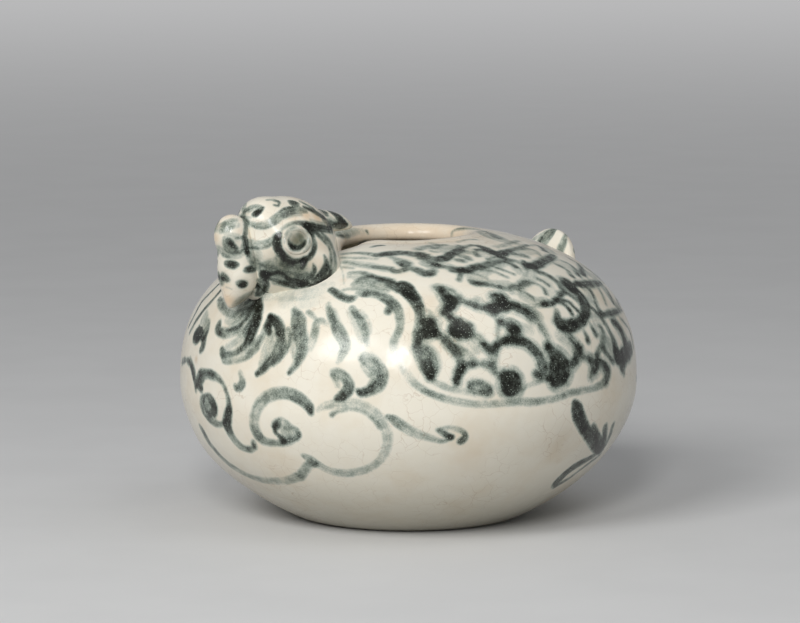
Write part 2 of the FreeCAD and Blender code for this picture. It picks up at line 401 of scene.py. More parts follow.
# Keys along the crest and the bill: x, z and half-sizes
CREST_KEYS = [(-3.6, 4.6, 5.0, 5.8, 3.9), (-7.2, 4.9, 4.9, 5.2, 3.0), (-10.6, 4.8, 4.1, 4.0, 2.3),
              (-13.2, 4.2, 3.0, 2.6, 1.6), (-15.2, 3.6, 1.7, 1.4, 0.9)]
BEAK_KEYS = [(14.5, 3.2, 4.0, 4.0, 4.8), (13.5, 0.3, 4.2, 4.1, 4.4), (12.9, -2.6, 4.7, 4.5, 4.4),
             (12.7, -4.8, 4.9, 4.6, 4.2), (12.9, -6.8, 4.4, 4.0, 3.6), (13.4, -8.8, 3.4, 3.0, 2.9),
             (14.1, -10.4, 2.3, 2.0, 2.0), (14.7, -11.7, 1.2, 1.1, 1.2)]
LOWER_BEAK_LUMPS = [((8.2, 0, -9.3), (3.0, 2.2, 2.3), 0.0), ((9.6, 0, -9.0), (1.8, 1.5, 1.5), 0.0)]
# Eye sockets pressed into the skull: place, reach and depth
SOCKETS = [((3.5, 9.4, 2.4), 2.9, 0.75), ((3.5, -9.4, 2.4), 2.9, 0.75)]


def from_head(points):
    points = np.atleast_2d(np.asarray(points, float))
    x, y = turned(points[:, 0], points[:, 1], HEAD_TURN)
    return np.c_[x, y, points[:, 2]] + HEAD_PLACE


def clay_lump(place_in_head, half_sizes, pitch=0.0, segments=48):
    """A ball of clay pressed to half-sizes; a positive pitch lifts its forward end."""
    bpy.ops.mesh.primitive_uv_sphere_add(segments=segments, ring_count=segments // 2, radius=1)
    lump = bpy.context.active_object
    ball = rows_of(lump.data.vertices, "co") * np.array(half_sizes)
    forward, up = turned(ball[:, 0], ball[:, 2], math.radians(pitch))
    place(lump, from_head(np.c_[forward, ball[:, 1], up] + np.array(place_in_head)))
    return lump


def clay_run(keys, count):
    """Many lumps that swell evenly from one key lump to the next: (x, z, half-sizes)."""
    keys = np.array(keys, float)
    ends = with_ends(keys)
    lumps = []
    for at in np.linspace(0, len(keys) - 1, count):
        k = min(int(at), len(keys) - 2)
        key = weave(*ends[k:k + 4], at - k)
        lumps.append(clay_lump((key[0], 0, key[1]), key[2:5], segments=40))
    return lumps


def knead(name, lumps, grain, rounds):
    """Join the lumps into one skin of the given grain and smooth the joints in many rounds."""
    bpy.ops.object.select_all(action="DESELECT")
    for lump in lumps:
        lump.select_set(True)
    bpy.context.view_layer.objects.active = lumps[0]
    bpy.ops.object.join()
    piece = named(bpy.context.active_object, name)
    remesh = piece.modifiers.new("remesh", "REMESH")
    remesh.mode = "VOXEL"
    remesh.voxel_size = grain * MM
    bpy.ops.object.modifier_apply(modifier="remesh")
    smooth = piece.modifiers.new("smooth", "SMOOTH")
    smooth.factor = 0.5
    smooth.iterations = rounds
    bpy.ops.object.modifier_apply(modifier="smooth")
    return finish_skin(piece)


def make_head():
    skull = knead("skull", [clay_lump(*lump) for lump in SKULL_LUMPS], grain=0.5, rounds=34)
    head = knead("head_and_crest", [skull] + clay_run(CREST_KEYS, 18), grain=0.2, rounds=24)
    points = places_of(head)
    depth = np.zeros(len(points))
    for spot, reach, deep in SOCKETS:
        depth += deep * bump(np.linalg.norm(points - from_head(spot), axis=1), 0, reach)
    place(head, points - rows_of(head.data.vertices, "normal") * depth[:, None])
    return head


def make_beak():
    return knead("cere_and_beak", clay_run(BEAK_KEYS, 30), grain=0.16, rounds=20)


def make_lower_beak():
    return knead("beak_under", [clay_lump(*lump) for lump in LOWER_BEAK_LUMPS], grain=0.16, rounds=4)


def make_eye_ring(side):
    """A rolled ring of clay laid round a socket, a little uneven as a hand rolls it."""
    turn, rise = EYE_TURN * side, EYE_RISE
    outward = np.array([math.cos(rise) * math.cos(turn), math.cos(rise) * math.sin(turn), math.sin(rise)])
    pitch = math.radians(SKULL_PITCH)
    along = outward[0] * math.cos(pitch) + outward[2] * math.sin(pitch)
    reach = 1 / math.sqrt((along / SKULL_HALF_LENGTH) ** 2 + (1 - along ** 2) / SKULL_RADIUS ** 2)
    bpy.ops.mesh.primitive_torus_add(major_segments=96, minor_segments=28,
                                     major_radius=RING_RADIUS, minor_radius=RING_ROLL)
    ring = named(bpy.context.active_object, "eye_ring_roll_left" if side > 0 else "eye_ring_roll_right")
    roll = rows_of(ring.data.vertices, "co")
    first = np.cross(outward, [0, 0, 1.0])
    first /= np.linalg.norm(first)
    second = np.cross(outward, first)
    angle = np.arctan2(roll[:, 1], roll[:, 0])
    roll[:, 2] *= 1.0 + 0.12 * np.sin(3 * angle + 0.4)
    roll[:, 0:2] *= (1 + 0.035 * np.sin(2 * angle + 0.9))[:, None]
    centre = outward * (reach - EYE_SINK)
    place(ring, from_head(centre + roll[:, :1] * first + roll[:, 1:2] * second + roll[:, 2:3] * outward))
    return finish_skin(ring)


# Tail

TAIL_HALF_SIZES = np.array([2.3, 8.6, 10.0])
TAIL_SQUARENESS = 0.62
TAIL_LEAN = math.radians(16.0)
TAIL_REACH = BODY_RADIUS - 7.1
TAIL_SINK, TAIL_SIDE = 0.4, -0.9


def make_tail():
    """The upright flap: a pressed disc of clay with soft edges, leaning back."""
    bpy.ops.mesh.primitive_uv_sphere_add(segments=120, ring_count=90, radius=1)
    flap = named(bpy.context.active_object, "tail_flap")
    disc = rows_of(flap.data.vertices, "co")
    disc[:, 0] = np.sign(disc[:, 0]) * np.abs(disc[:, 0]) ** TAIL_SQUARENESS
    disc = disc * TAIL_HALF_SIZES
    x, z = turned(disc[:, 0], disc[:, 2], TAIL_LEAN)
    shoulder = outer_curve[outer_curve[:, 1] > BELLY_HEIGHT][::-1]
    base = np.interp(TAIL_REACH, shoulder[:, 0], shoulder[:, 1]) - TAIL_SINK
    place(flap, np.c_[x - TAIL_REACH, disc[:, 1] + TAIL_SIDE, z + base])
    return finish_skin(flap)


# Brush painting: each stroke is a line of touches (x, y, width, tone), x and y being where the
# touch is seen in the photograph and width what it measures there, both in its pixels. A touch
# without a tone keeps the tone of the one before it, and a first one has FIRST_TONE.

FIRST_TONE = 0.6
STROKE_STEPS = 7
LEAST_WIDTH, LEAST_TONE = 0.3, 0.02
DAB_LENGTH = 0.4
MOST_SLANT, LEAST_FACING = 2.3, 0.12
# A stroke's cover: at its soft edge, and more from there to its middle
EDGE_COVER, MIDDLE_COVER, MIDDLE_DEPTH = 0.84, 0.16, 1.1
OUT_OF_REACH = -9.0
STROKE_GAP = 7.31
TINT_SPREAD = 1.6


def with_tones(touches):
    """The touches with a tone each; one that names none keeps the tone before it."""
    tone = FIRST_TONE
    rows = []
    for x, y, width, *own in touches:
        tone = own[0] if own else tone
        rows.append((x, y, width, tone))
    return rows


def brush_line(touches):
    """A smooth line through the touches of a stroke."""
    rows = np.array(with_tones(touches), float)
    if len(rows) == 1:
        rows = np.r_[rows, rows + np.array([[DAB_LENGTH, 0.0, 0, 0]])]
    ends = with_ends(rows)
    shares = np.arange(STROKE_STEPS) / STROKE_STEPS
    line = np.array([weave(*ends[k:k + 4], t) for k in range(len(rows) - 1) for t in shares] + [rows[-1]])
    line[:, 2] = np.maximum(line[:, 2], LEAST_WIDTH)
    line[:, 3] = np.clip(line[:, 3], LEAST_TONE, 1)
    return line


def surface_of(pieces):
    """A search tree over the pieces, for laying strokes on them."""
    corners, faces = [], []
    for piece in pieces:
        start = len(corners)
        corners.extend(places_of(piece).tolist())
        faces.extend([[start + i for i in face.vertices] for face in piece.data.polygons])
    return BVHTree.FromPolygons(corners, faces)


def lay_on(surface, x, y):
    """Where the line of sight through a photographed pixel meets the surface."""
    hit, normal = surface.ray_cast(Vector(camera_place), Vector(sight_line(x, y)))[:2]
    return None if hit is None else (np.array(hit), np.array(normal))


def lay_stroke(surface, touches):
    """The stroke's line on the clay: place, half-width and tone of each step, in millimetres."""
    line = brush_line(touches)
    laid = []
    for k, (x, y, width, tone) in enumerate(line):
        found = lay_on(surface, x, y)
        if found is None:
            continue
        spot, normal = found
        before, after = line[max(k - 1, 0)], line[min(k + 1, len(line) - 1)]
        run = np.array([after[0] - before[0], after[1] - before[1]])
        size = np.linalg.norm(run)
        side = np.array([-run[1], run[0]]) / size if size > 1e-6 else np.array([1.0, 0.0])
        in_view = camera_right * side[0] - camera_up * side[1]
        facing = max(normal @ toward_camera, LEAST_FACING)
        slanted = in_view + toward_camera * (-(in_view @ normal) / facing)
        stretch = min(np.linalg.norm(slanted), MOST_SLANT)
        laid.append(np.r_[spot, width * PIXEL * stretch / 2, tone])
    return np.array(laid) if len(laid) > 1 else None


def laid_on(surface, table, widen=None):
    """The table's strokes on the clay; widen makes washes: (factor, extra width, share of tone)."""
    if widen:
        table = [thinned(touches, *widen) for touches in table]
    return [laid for laid in (lay_stroke(surface, touches) for touches in table) if laid is not None]


def thinned(touches, factor, extra, share):
    """The same stroke as a wider and paler wash."""
    return [(x, y, width * factor + extra, tone * share) for x, y, width, tone in with_tones(touches)]


def mirror_those_beyond(strokes, degrees):
    """The strokes past a bearing once more on the bird's other side."""
    beyond = [laid.copy() for laid in strokes
              if math.degrees(math.atan2(laid[:, 1].mean(), laid[:, 0].mean())) > degrees]
    for laid in beyond:
        laid[:, 1] *= -1
    return beyond


def mirrored_in_head(laid):
    """The stroke on the other side of the head, which looks a little to the bird's right."""
    gap = laid[:, :3] - HEAD_PLACE
    level = np.array([-math.sin(HEAD_TURN), math.cos(HEAD_TURN), 0.0])
    other = laid.copy()
    other[:, :3] = laid[:, :3] - 2 * (gap @ level)[:, None] * level
    return other


def lay_round(touches):
    """A stroke laid on the far side: touches of turn in degrees, share of the way from
    mouth to foot, width in millimetres and tone."""
    line = brush_line(touches)
    outside = wall_rows[:OUTER_ROWS]
    length = lengths_along(outside)
    at = line[:, 1] * length[-1]
    radius = np.interp(at, length, outside[:, 0])
    height = np.interp(at, length, outside[:, 1])
    turn = np.radians(line[:, 0])
    spots = settle(np.c_[radius * np.cos(turn), radius * np.sin(turn), height])
    return np.c_[spots, line[:, 2] / 2, line[:, 3]]


def paint(pieces, strokes, soft, first_stroke=0):
    """Write the ink that the strokes leave on each vertex of the pieces: its density, and the
    brush's way over it as across, along and a number for the stroke."""
    spots = [places_of(piece) for piece in pieces]
    points = np.concatenate(spots)
    order = np.argsort(points[:, 0])
    sorted_x = points[order, 0]
    clear = np.ones(len(points))
    nearest = np.full(len(points), OUT_OF_REACH)
    flow = np.zeros((len(points), 3))
    for number, laid in enumerate(strokes):
        reach = laid[:, 3].max() + soft + 0.05
        low, high = laid[:, :3].min(0) - reach, laid[:, :3].max(0) + reach
        window = order[np.searchsorted(sorted_x, low[0]):np.searchsorted(sorted_x, high[0])]
        near = window[((points[window] > low) & (points[window] < high)).all(1)]
        if not len(near):
            continue
        start, step = laid[:-1], np.diff(laid, axis=0)
        length = lengths_along(laid[:, :3])
        size = (step[:, :3] ** 2).sum(1) + 1e-12
        best = np.full(len(near), OUT_OF_REACH)
        tone, along, across = (np.zeros(len(near)) for _ in range(3))
        for k in range(len(start)):
            gap = points[near] - start[k, :3]
            t = np.clip(gap @ step[k, :3] / size[k], 0, 1)
            away = gap - t[:, None] * step[k, :3]
            distance = np.sqrt((away ** 2).sum(1))
            edge = start[k, 3] + t * step[k, 3] - distance
            better = edge > best
            best[better] = edge[better]
            tone[better] = (start[k, 4] + t * step[k, 4])[better]
            along[better] = (length[k] + t * (length[k + 1] - length[k]))[better]
            hand = np.sign((np.cross(step[k, :3], away[better]) * points[near][better]).sum(1))
            across[better] = distance[better] * hand
        cover = EDGE_COVER * ramp(best, -soft, soft) + MIDDLE_COVER * ramp(best, 0.0, MIDDLE_DEPTH)
        clear[near] *= 1 - tone * cover
        if number < first_stroke:
            continue
        front = best > nearest[near]
        chosen = near[front]
        nearest[chosen] = best[front]
        flow[chosen] = np.c_[across[front], along[front], np.full(front.sum(), number * STROKE_GAP)]
    begin = 0
    for piece, own in zip(pieces, spots):
        part = slice(begin, begin + len(own))
        begin += len(own)
        keep(piece, "ink", 1 - clear[part])
        keep(piece, "brush_way", flow[part])


def tint_spots(surface, points, table):
    """Peach and olive shares round the spots of a table: (x, y, reach, peach, olive) in pixels."""
    peach, olive = np.zeros(len(points)), np.zeros(len(points))
    for x, y, reach, peach_share, olive_share in table:
        found = lay_on(surface, x, y)
        if found is None:
            continue
        near = bump(np.linalg.norm(points - found[0], axis=1), 0, reach * PIXEL * TINT_SPREAD)
        peach = np.maximum(peach, peach_share * near)
        olive = np.maximum(olive, olive_share * near)
    return peach, olive


def tint(piece, peach, olive):
    """Two glaze tints per vertex: peach where the glaze is thin, olive where it pools."""
    keep(piece, "glaze_tint", np.c_[np.clip(peach, 0, 1), np.clip(olive, 0, 1), np.zeros(len(peach))])


# Strokes on the body

# Throat and breast: the hatched bib under the beak, and the leaves and commas beside it
THROAT = [
    [(219, 299, 3), (222, 307, 5), (228, 313, 6, 0.5), (238, 314, 6, 0.42), (246, 310, 6, 0.5),
     (253, 303, 5, 0.7), (258, 298, 3)],
    [(219, 323, 3, 0.75), (218, 329, 5, 0.85), (222, 334, 6, 0.75), (229, 333, 7, 0.4),
     (238, 329, 7, 0.35), (246, 322, 7, 0.45), (253, 313, 6, 0.6), (258, 302, 4, 0.8)],
    [(222, 329, 2.5), (230, 330, 2.5, 0.62), (238, 327, 2.5), (244, 321, 3, 0.7), (250, 313, 3, 0.8),
     (256, 303, 3, 0.85)],
    [(233, 322, 3, 0.3), (240, 318, 4, 0.45), (247, 313, 4, 0.6), (254, 305, 4, 0.75),
     (257, 299, 3, 0.85)],
    [(222, 350, 4, 0.7), (224, 355, 6, 0.8), (231, 354, 5, 0.6), (239, 350, 5, 0.68), (246, 344, 6, 0.78),
     (251, 335, 8, 0.85), (255, 324, 9, 0.92), (258, 312, 8, 0.93), (259, 301, 5, 0.9)],
    [(227, 347, 5, 0.18), (236, 342, 6, 0.25), (244, 334, 7, 0.4), (249, 325, 5, 0.6)],
    [(223, 357, 4, 0.5), (226, 361, 5), (235, 361, 4, 0.45), (245, 358, 4, 0.5), (253, 352, 5, 0.45),
     (259, 344, 5, 0.5), (263, 335, 5), (265, 327, 4, 0.4)],
    [(232, 357, 4, 0.22), (242, 354, 5, 0.28), (251, 348, 5, 0.4), (258, 339, 5, 0.35)],
    [(270, 316, 5, 0.9), (276, 321, 9, 0.93), (280, 330, 9, 0.85), (281, 341, 8, 0.72),
     (277, 352, 8, 0.66), (270, 362, 7, 0.72), (262, 370, 6, 0.85), (257, 374, 4, 0.9)],
    [(270, 319, 6, 0.9), (268, 326, 7, 0.95), (269, 332, 5, 0.9)],
    [(272, 336, 9, 0.3), (269, 347, 11, 0.26), (265, 358, 9, 0.3), (262, 366, 6, 0.4)],
    [(288, 329, 3, 0.5), (290, 338, 4, 0.7), (287, 347, 5, 0.72), (281, 356, 5, 0.7), (273, 364, 4)],
    [(294, 310, 5, 0.55), (298, 319, 12, 0.66), (299, 330, 14, 0.64), (302, 341, 12, 0.5),
     (302, 352, 9, 0.48), (298, 361, 7, 0.55), (293, 368, 5, 0.6), (289, 373, 3, 0.72)],
    [(297, 344, 12, 0.26), (296, 355, 8, 0.24)],
    [(308, 312, 4, 0.4), (312, 315, 4, 0.45), (315, 318, 2.5, 0.35)],
    [(327, 325, 3, 0.22), (322, 321, 5, 0.3), (317, 323, 6, 0.42), (315, 331, 7, 0.46),
     (313, 341, 6, 0.28), (310, 349, 4, 0.15)],
    [(328, 304, 4, 0.3), (330, 312, 6, 0.5), (334, 322, 8, 0.58), (339, 332, 11), (344, 341, 10, 0.52),
     (345, 349, 8, 0.56), (341, 356, 6, 0.52), (338, 362, 3, 0.3)],
    [(352, 308, 5, 0.4), (357, 315, 6, 0.58), (362, 323, 7, 0.5), (365, 331, 6, 0.46), (366, 339, 5, 0.36),
     (367, 345, 4, 0.2)],
    [(360, 312, 6, 0.16), (367, 322, 6, 0.2), (369, 332, 5, 0.18)],
    [(331, 290, 5, 0.72), (336, 293, 6, 0.74), (343, 297, 6, 0.68), (350, 299, 6, 0.76),
     (355, 297, 3, 0.4)],
    [(358, 293, 3, 0.45), (364, 294, 5, 0.68), (372, 295, 4, 0.58), (380, 296, 6, 0.64),
     (387, 299, 8, 0.68), (393, 304, 9), (398, 311, 8, 0.64), (400, 319, 7, 0.58), (400, 327, 6, 0.52),
     (397, 335, 6, 0.46), (394, 342, 7, 0.36), (394, 349, 6, 0.24), (396, 354, 4, 0.12)],
    [(391, 302, 5), (389, 308, 6, 0.68), (388, 312, 6, 0.72)],
    [(240, 373, 3, 0.4), (242, 379, 4, 0.5), (242, 384, 6, 0.68), (238, 388, 6, 0.74), (235, 386, 3, 0.6)],
    [(332, 371, 3, 0.3), (338, 373, 8, 0.42), (345, 378, 9, 0.48), (349, 385, 9, 0.6),
     (347, 391, 10, 0.76), (341, 397, 8, 0.92), (337, 399, 5, 0.95)],
    [(332, 374, 4, 0.4), (336, 380, 5, 0.42), (338, 386, 4, 0.34)],
    [(361, 357, 5, 0.3), (367, 354, 4, 0.35), (373, 357, 5, 0.4), (379, 364, 6, 0.42), (383, 372, 8, 0.52),
     (382, 380, 10, 0.62), (377, 387, 10, 0.7), (369, 391, 9, 0.8), (362, 393, 7, 0.94),
     (358, 391, 4, 0.85)],
    [(361, 358, 3, 0.3), (364, 366, 5, 0.26), (370, 374, 6, 0.34)],
    [(362, 359, 6, 0.3), (368, 362, 9, 0.42), (375, 369, 10, 0.45), (377, 378, 9), (372, 385, 7, 0.4)],
]

# Scrolls and clouds of the breast and the flank
SCROLLS = [
    [(201, 388, 4, 0.85), (199, 382, 6, 0.86), (202, 376, 8, 0.8), (208, 374, 8, 0.74), (214, 376, 7, 0.7),
     (219, 379, 4, 0.6), (223, 384, 2.6, 0.62), (226, 391, 2.6, 0.66), (228, 399, 3.4, 0.72),
     (229, 408, 5, 0.9), (228, 416, 7, 0.95), (227, 424, 7, 0.9), (229, 431, 6, 0.76), (233, 438, 5, 0.5),
     (238, 444, 5, 0.45), (244, 448, 4, 0.55), (250, 449, 5, 0.72), (254, 447, 5, 0.8),
     (254, 442, 3, 0.6)],
    [(225, 424, 4, 0.72), (219, 424, 4, 0.62), (213, 421, 5, 0.6), (208, 416, 5, 0.66),
     (204, 410, 5, 0.62), (202, 404, 4, 0.66), (203, 398, 4, 0.74), (207, 396, 3.5, 0.7),
     (211, 400, 5, 0.78), (214, 407, 6, 0.9), (213, 413, 6, 0.88), (210, 414, 5, 0.7)],
    [(206, 401, 6, 0.45), (208, 408, 7, 0.5), (209, 412, 5)],
    [(311, 413, 4, 0.85), (309, 407, 8, 0.78), (303, 401, 9, 0.66), (295, 396, 10, 0.6),
     (285, 393, 10, 0.58), (275, 394, 10, 0.6), (266, 398, 10, 0.5), (259, 405, 9, 0.42),
     (255, 414, 8, 0.36), (254, 423, 8, 0.38), (256, 431, 8, 0.55), (260, 438, 7, 0.7),
     (267, 442, 6, 0.48), (276, 443, 5, 0.55), (285, 443, 5, 0.72), (293, 440, 5, 0.55),
     (298, 436, 5, 0.76), (297, 431, 4, 0.6), (292, 427, 3, 0.4), (286, 422, 3), (281, 420, 4, 0.6),
     (277, 424, 8, 0.95), (275, 427, 7)],
    [(275, 432, 3), (280, 437, 4, 0.75), (284, 441, 5, 0.82)],
    [(284, 428, 7, 0.42), (288, 433, 11), (290, 437, 7, 0.45)],
    [(318, 410, 3, 0.3), (325, 406, 6), (335, 404, 8, 0.27), (347, 404, 9), (358, 404, 8, 0.25),
     (368, 408, 8), (377, 415, 8, 0.28), (383, 424, 8, 0.3), (387, 434, 9), (387, 445, 8), (383, 456, 7),
     (376, 464, 6), (365, 470, 6, 0.33), (352, 473, 6, 0.34), (340, 473, 6), (328, 470, 5, 0.36),
     (319, 465, 5, 0.4), (311, 460, 6, 0.5), (304, 456, 3, 0.45)],
    [(332, 415, 4, 0.55), (336, 412, 3, 0.5), (344, 410, 3, 0.36), (353, 409, 3, 0.34),
     (361, 411, 3, 0.36), (368, 415, 3, 0.4), (375, 421, 3), (380, 428, 3.5, 0.38)],
    [(315, 464, 5, 0.62), (310, 464, 7, 0.58), (305, 470, 8, 0.5), (300, 476, 8, 0.55),
     (293, 479, 6, 0.36), (284, 481, 5, 0.3), (272, 481, 4), (258, 479, 3.6, 0.34), (245, 474, 3.6, 0.4),
     (233, 467, 4, 0.46), (223, 459, 3.6, 0.52), (215, 450, 3.6, 0.6), (208, 441, 4, 0.66),
     (204, 433, 4, 0.72), (201, 428, 3, 0.6)],
    [(388, 417, 4), (394, 420, 7, 0.66), (401, 425, 8, 0.46), (410, 431, 8, 0.36), (420, 435, 7, 0.32),
     (430, 438, 5), (440, 441, 3.5, 0.42), (447, 440, 3, 0.5), (452, 437, 4, 0.6)],
    [(439, 431, 3, 0.5), (445, 434, 5, 0.78), (451, 437, 5, 0.85)],
    [(438, 430, 3, 0.5), (447, 428, 3, 0.36), (456, 429, 4, 0.4), (463, 432, 4, 0.6), (465, 437, 5, 0.76),
     (461, 441, 6, 0.92)],
    [(189, 326, 2, 0.7), (195, 314, 2.4, 0.75), (201, 303, 2.4), (207, 296, 2.4), (213, 290, 2.2),
     (219, 284, 2)],
    [(190, 332, 2, 0.7), (196, 321, 2.4, 0.75), (203, 311, 2.4), (210, 303, 2.4), (216, 296, 2.2),
     (221, 290, 2)],
    [(205, 314, 3, 0.25), (204, 320, 6, 0.3), (206, 326, 6, 0.45), (204, 333, 7, 0.8),
     (199, 334, 11, 0.95), (196, 335, 8, 0.92)],
    [(204, 340, 4, 0.7), (203, 346, 4, 0.68), (201, 350, 3, 0.7)],
    [(190, 360, 2.5), (193, 370, 3.5, 0.75), (195, 380, 3.5, 0.65), (196, 390, 2, 0.5)],
    [(575, 404, 6, 0.9), (577, 409, 10, 0.93), (579, 416, 11), (583, 425, 10), (588, 434, 9, 0.9),
     (593, 442, 8, 0.88), (597, 449, 6, 0.85), (600, 453, 3, 0.8)],
    [(593, 426, 4, 0.75), (596, 434, 5, 0.85), (599, 442, 5), (601, 450, 4, 0.8)],
    [(605, 427, 3.2, 0.75), (605, 435, 3), (604, 443, 3), (602, 450, 2, 0.7)],
    [(613, 425, 2.5), (610, 435, 2.5, 0.66), (606, 444, 2.5), (602, 451, 2, 0.6)],
    [(600, 452, 2), (592, 457, 3, 0.72), (583, 462, 4, 0.78), (574, 467, 5, 0.8), (565, 474, 5),
     (559, 480, 5), (555, 485, 3)],
    [(600, 455, 1.5, 0.5), (592, 461, 2, 0.6), (584, 467, 2), (576, 473, 2), (568, 479, 2.5),
     (561, 483, 3, 0.7), (556, 486, 3, 0.8)],
]

# The wing: its front edge and its rims, then the spots and scales along them
WING_EDGE = [
    [(378, 279, 4, 0.5), (388, 282, 5, 0.56), (396, 286, 8, 0.8), (404, 288, 13, 0.97),
     (411, 295, 12, 0.96), (417, 303, 11, 0.85), (420, 313, 9, 0.7), (419, 325, 8, 0.64),
     (417, 336, 8, 0.58), (417, 346, 8, 0.55), (418, 355, 7, 0.5), (421, 364, 6, 0.44), (425, 372, 6, 0.4),
     (432, 380, 6, 0.38), (441, 385, 6, 0.33), (452, 389, 6, 0.28), (463, 391, 5, 0.26),
     (475, 394, 4, 0.3)],
    [(399, 364, 4, 0.12), (407, 374, 7, 0.2), (414, 383, 7, 0.26), (422, 389, 6, 0.52),
     (430, 393, 6, 0.58), (440, 397, 6, 0.52), (450, 400, 6, 0.42), (460, 402, 6, 0.36), (475, 404, 6),
     (490, 404, 6), (505, 403, 6, 0.4), (520, 402, 7, 0.44), (535, 402, 7, 0.42), (548, 400, 6, 0.38),
     (560, 397, 6, 0.52), (570, 393, 6, 0.46), (580, 391, 6, 0.44), (590, 389, 5), (599, 386, 6),
     (605, 381, 6, 0.5), (608, 374, 5), (607, 367, 5, 0.55), (602, 362, 4, 0.58), (596, 360, 3, 0.6)],
    [(503, 396, 3, 0.2), (512, 393, 4, 0.28), (522, 388, 4, 0.34), (532, 384, 4), (542, 381, 4, 0.36),
     (552, 379, 4, 0.4)],
    [(470, 383, 4, 0.5), (475, 381, 3, 0.45), (482, 383, 3, 0.5), (488, 388, 5, 0.7), (489, 392, 6, 0.85),
     (482, 393, 5, 0.55), (475, 391, 5, 0.5), (470, 387, 4, 0.6)],
    [(474, 386, 7, 0.34), (481, 388, 8, 0.36)],
    [(424, 322, 7, 0.8), (430, 325, 12, 0.95), (429, 331, 14, 0.97), (424, 333, 10, 0.9),
     (419, 337, 8, 0.75), (418, 343, 6, 0.65)],
    [(433, 333, 7, 0.8), (440, 335, 6, 0.76), (446, 340, 8, 0.74), (451, 346, 8, 0.7), (456, 352, 8),
     (459, 358, 7, 0.62), (461, 365, 7, 0.66), (459, 372, 7, 0.8), (457, 379, 7, 0.9), (457, 382, 6)],
    [(416, 348, 8, 0.45), (423, 349, 9, 0.5), (430, 354, 9, 0.52), (434, 362, 8, 0.55), (434, 370, 7, 0.6),
     (430, 376, 7, 0.75)],
    [(429, 362, 7, 0.72), (429, 369, 9, 0.78), (431, 375, 7, 0.72)],
    [(421, 356, 8, 0.34), (424, 364, 8, 0.3), (428, 372, 6, 0.4)],
    [(436, 288, 4), (441, 290, 6, 0.78), (446, 296, 9, 0.86), (451, 303, 11, 0.95), (447, 309, 9, 0.85),
     (443, 312, 7, 0.72)],
    [(455, 300, 7, 0.8), (462, 301, 5, 0.58), (469, 303, 5, 0.6), (477, 306, 6, 0.66), (485, 308, 6),
     (491, 309, 8, 0.72)],
    [(440, 287, 3, 0.55), (449, 289, 3, 0.35), (456, 293, 3, 0.32), (461, 298, 3, 0.3)],
    [(450, 317, 5, 0.8), (455, 323, 9, 0.86), (454, 331, 9, 0.9), (459, 335, 6, 0.85)],
    [(459, 322, 6, 0.8), (465, 328, 9, 0.95), (467, 333, 10, 0.97), (460, 334, 8, 0.92)],
    [(470, 327, 6, 0.5), (474, 334, 6, 0.38), (480, 340, 7, 0.34), (486, 346, 6, 0.4)],
    [(453, 346, 6, 0.3), (463, 350, 7, 0.28), (470, 357, 6, 0.32), (473, 363, 6, 0.45)],
    [(462, 371, 5), (465, 367, 6, 0.8), (471, 364, 5, 0.66), (480, 364, 4, 0.42), (489, 365, 7, 0.74),
     (494, 367, 6, 0.55)],
    [(485, 345, 5, 0.75), (491, 350, 8, 0.92), (496, 346, 6, 0.84)],
    [(497, 346, 6, 0.8), (503, 342, 7, 0.72), (510, 340, 8), (518, 341, 8), (526, 343, 8),
     (533, 348, 8, 0.76), (538, 354, 8, 0.7), (541, 361, 8, 0.68), (543, 368, 8, 0.72),
     (541, 375, 7, 0.76), (536, 374, 6, 0.8)],
    [(495, 352, 6, 0.4), (494, 360, 6, 0.34), (494, 368, 6, 0.4), (497, 375, 5)],
    [(505, 376, 11, 0.86), (511, 378, 14, 0.88), (511, 384, 20, 0.93), (512, 388, 14, 0.95)],
    [(548, 347, 6, 0.88), (553, 353, 9, 0.82), (558, 361, 16, 0.86), (560, 370, 20, 0.88),
     (556, 378, 16, 0.93), (550, 378, 9, 0.86)],
    [(501, 322, 5, 0.55), (508, 325, 7, 0.76), (513, 328, 10, 0.93), (516, 333, 10), (515, 339, 9, 0.8),
     (508, 342, 7, 0.7)],
    [(500, 321, 4, 0.45), (498, 330, 3, 0.3), (497, 338, 3, 0.28)],
    [(493, 297, 5), (500, 300, 12, 0.92), (499, 306, 13, 0.96), (492, 309, 8, 0.78)],
    [(506, 305, 9, 0.78), (513, 306, 8, 0.72), (520, 309, 8), (527, 313, 7, 0.66), (533, 318, 7),
     (538, 322, 5, 0.5), (543, 330, 5, 0.38), (547, 338, 5, 0.4), (549, 345, 6, 0.6)],
    [(556, 322, 4, 0.4), (566, 333, 5, 0.42), (574, 341, 5, 0.5), (580, 350, 6, 0.6)],
    [(579, 348, 6, 0.7), (577, 357, 7, 0.8), (573, 365, 6, 0.76)],
    [(584, 357, 4), (591, 361, 6, 0.76), (595, 367, 8, 0.8), (592, 373, 4, 0.75), (591, 377, 3, 0.7)],
    [(597, 361, 4), (604, 366, 6, 0.7), (607, 373, 5, 0.6), (606, 380, 4, 0.5)],
]

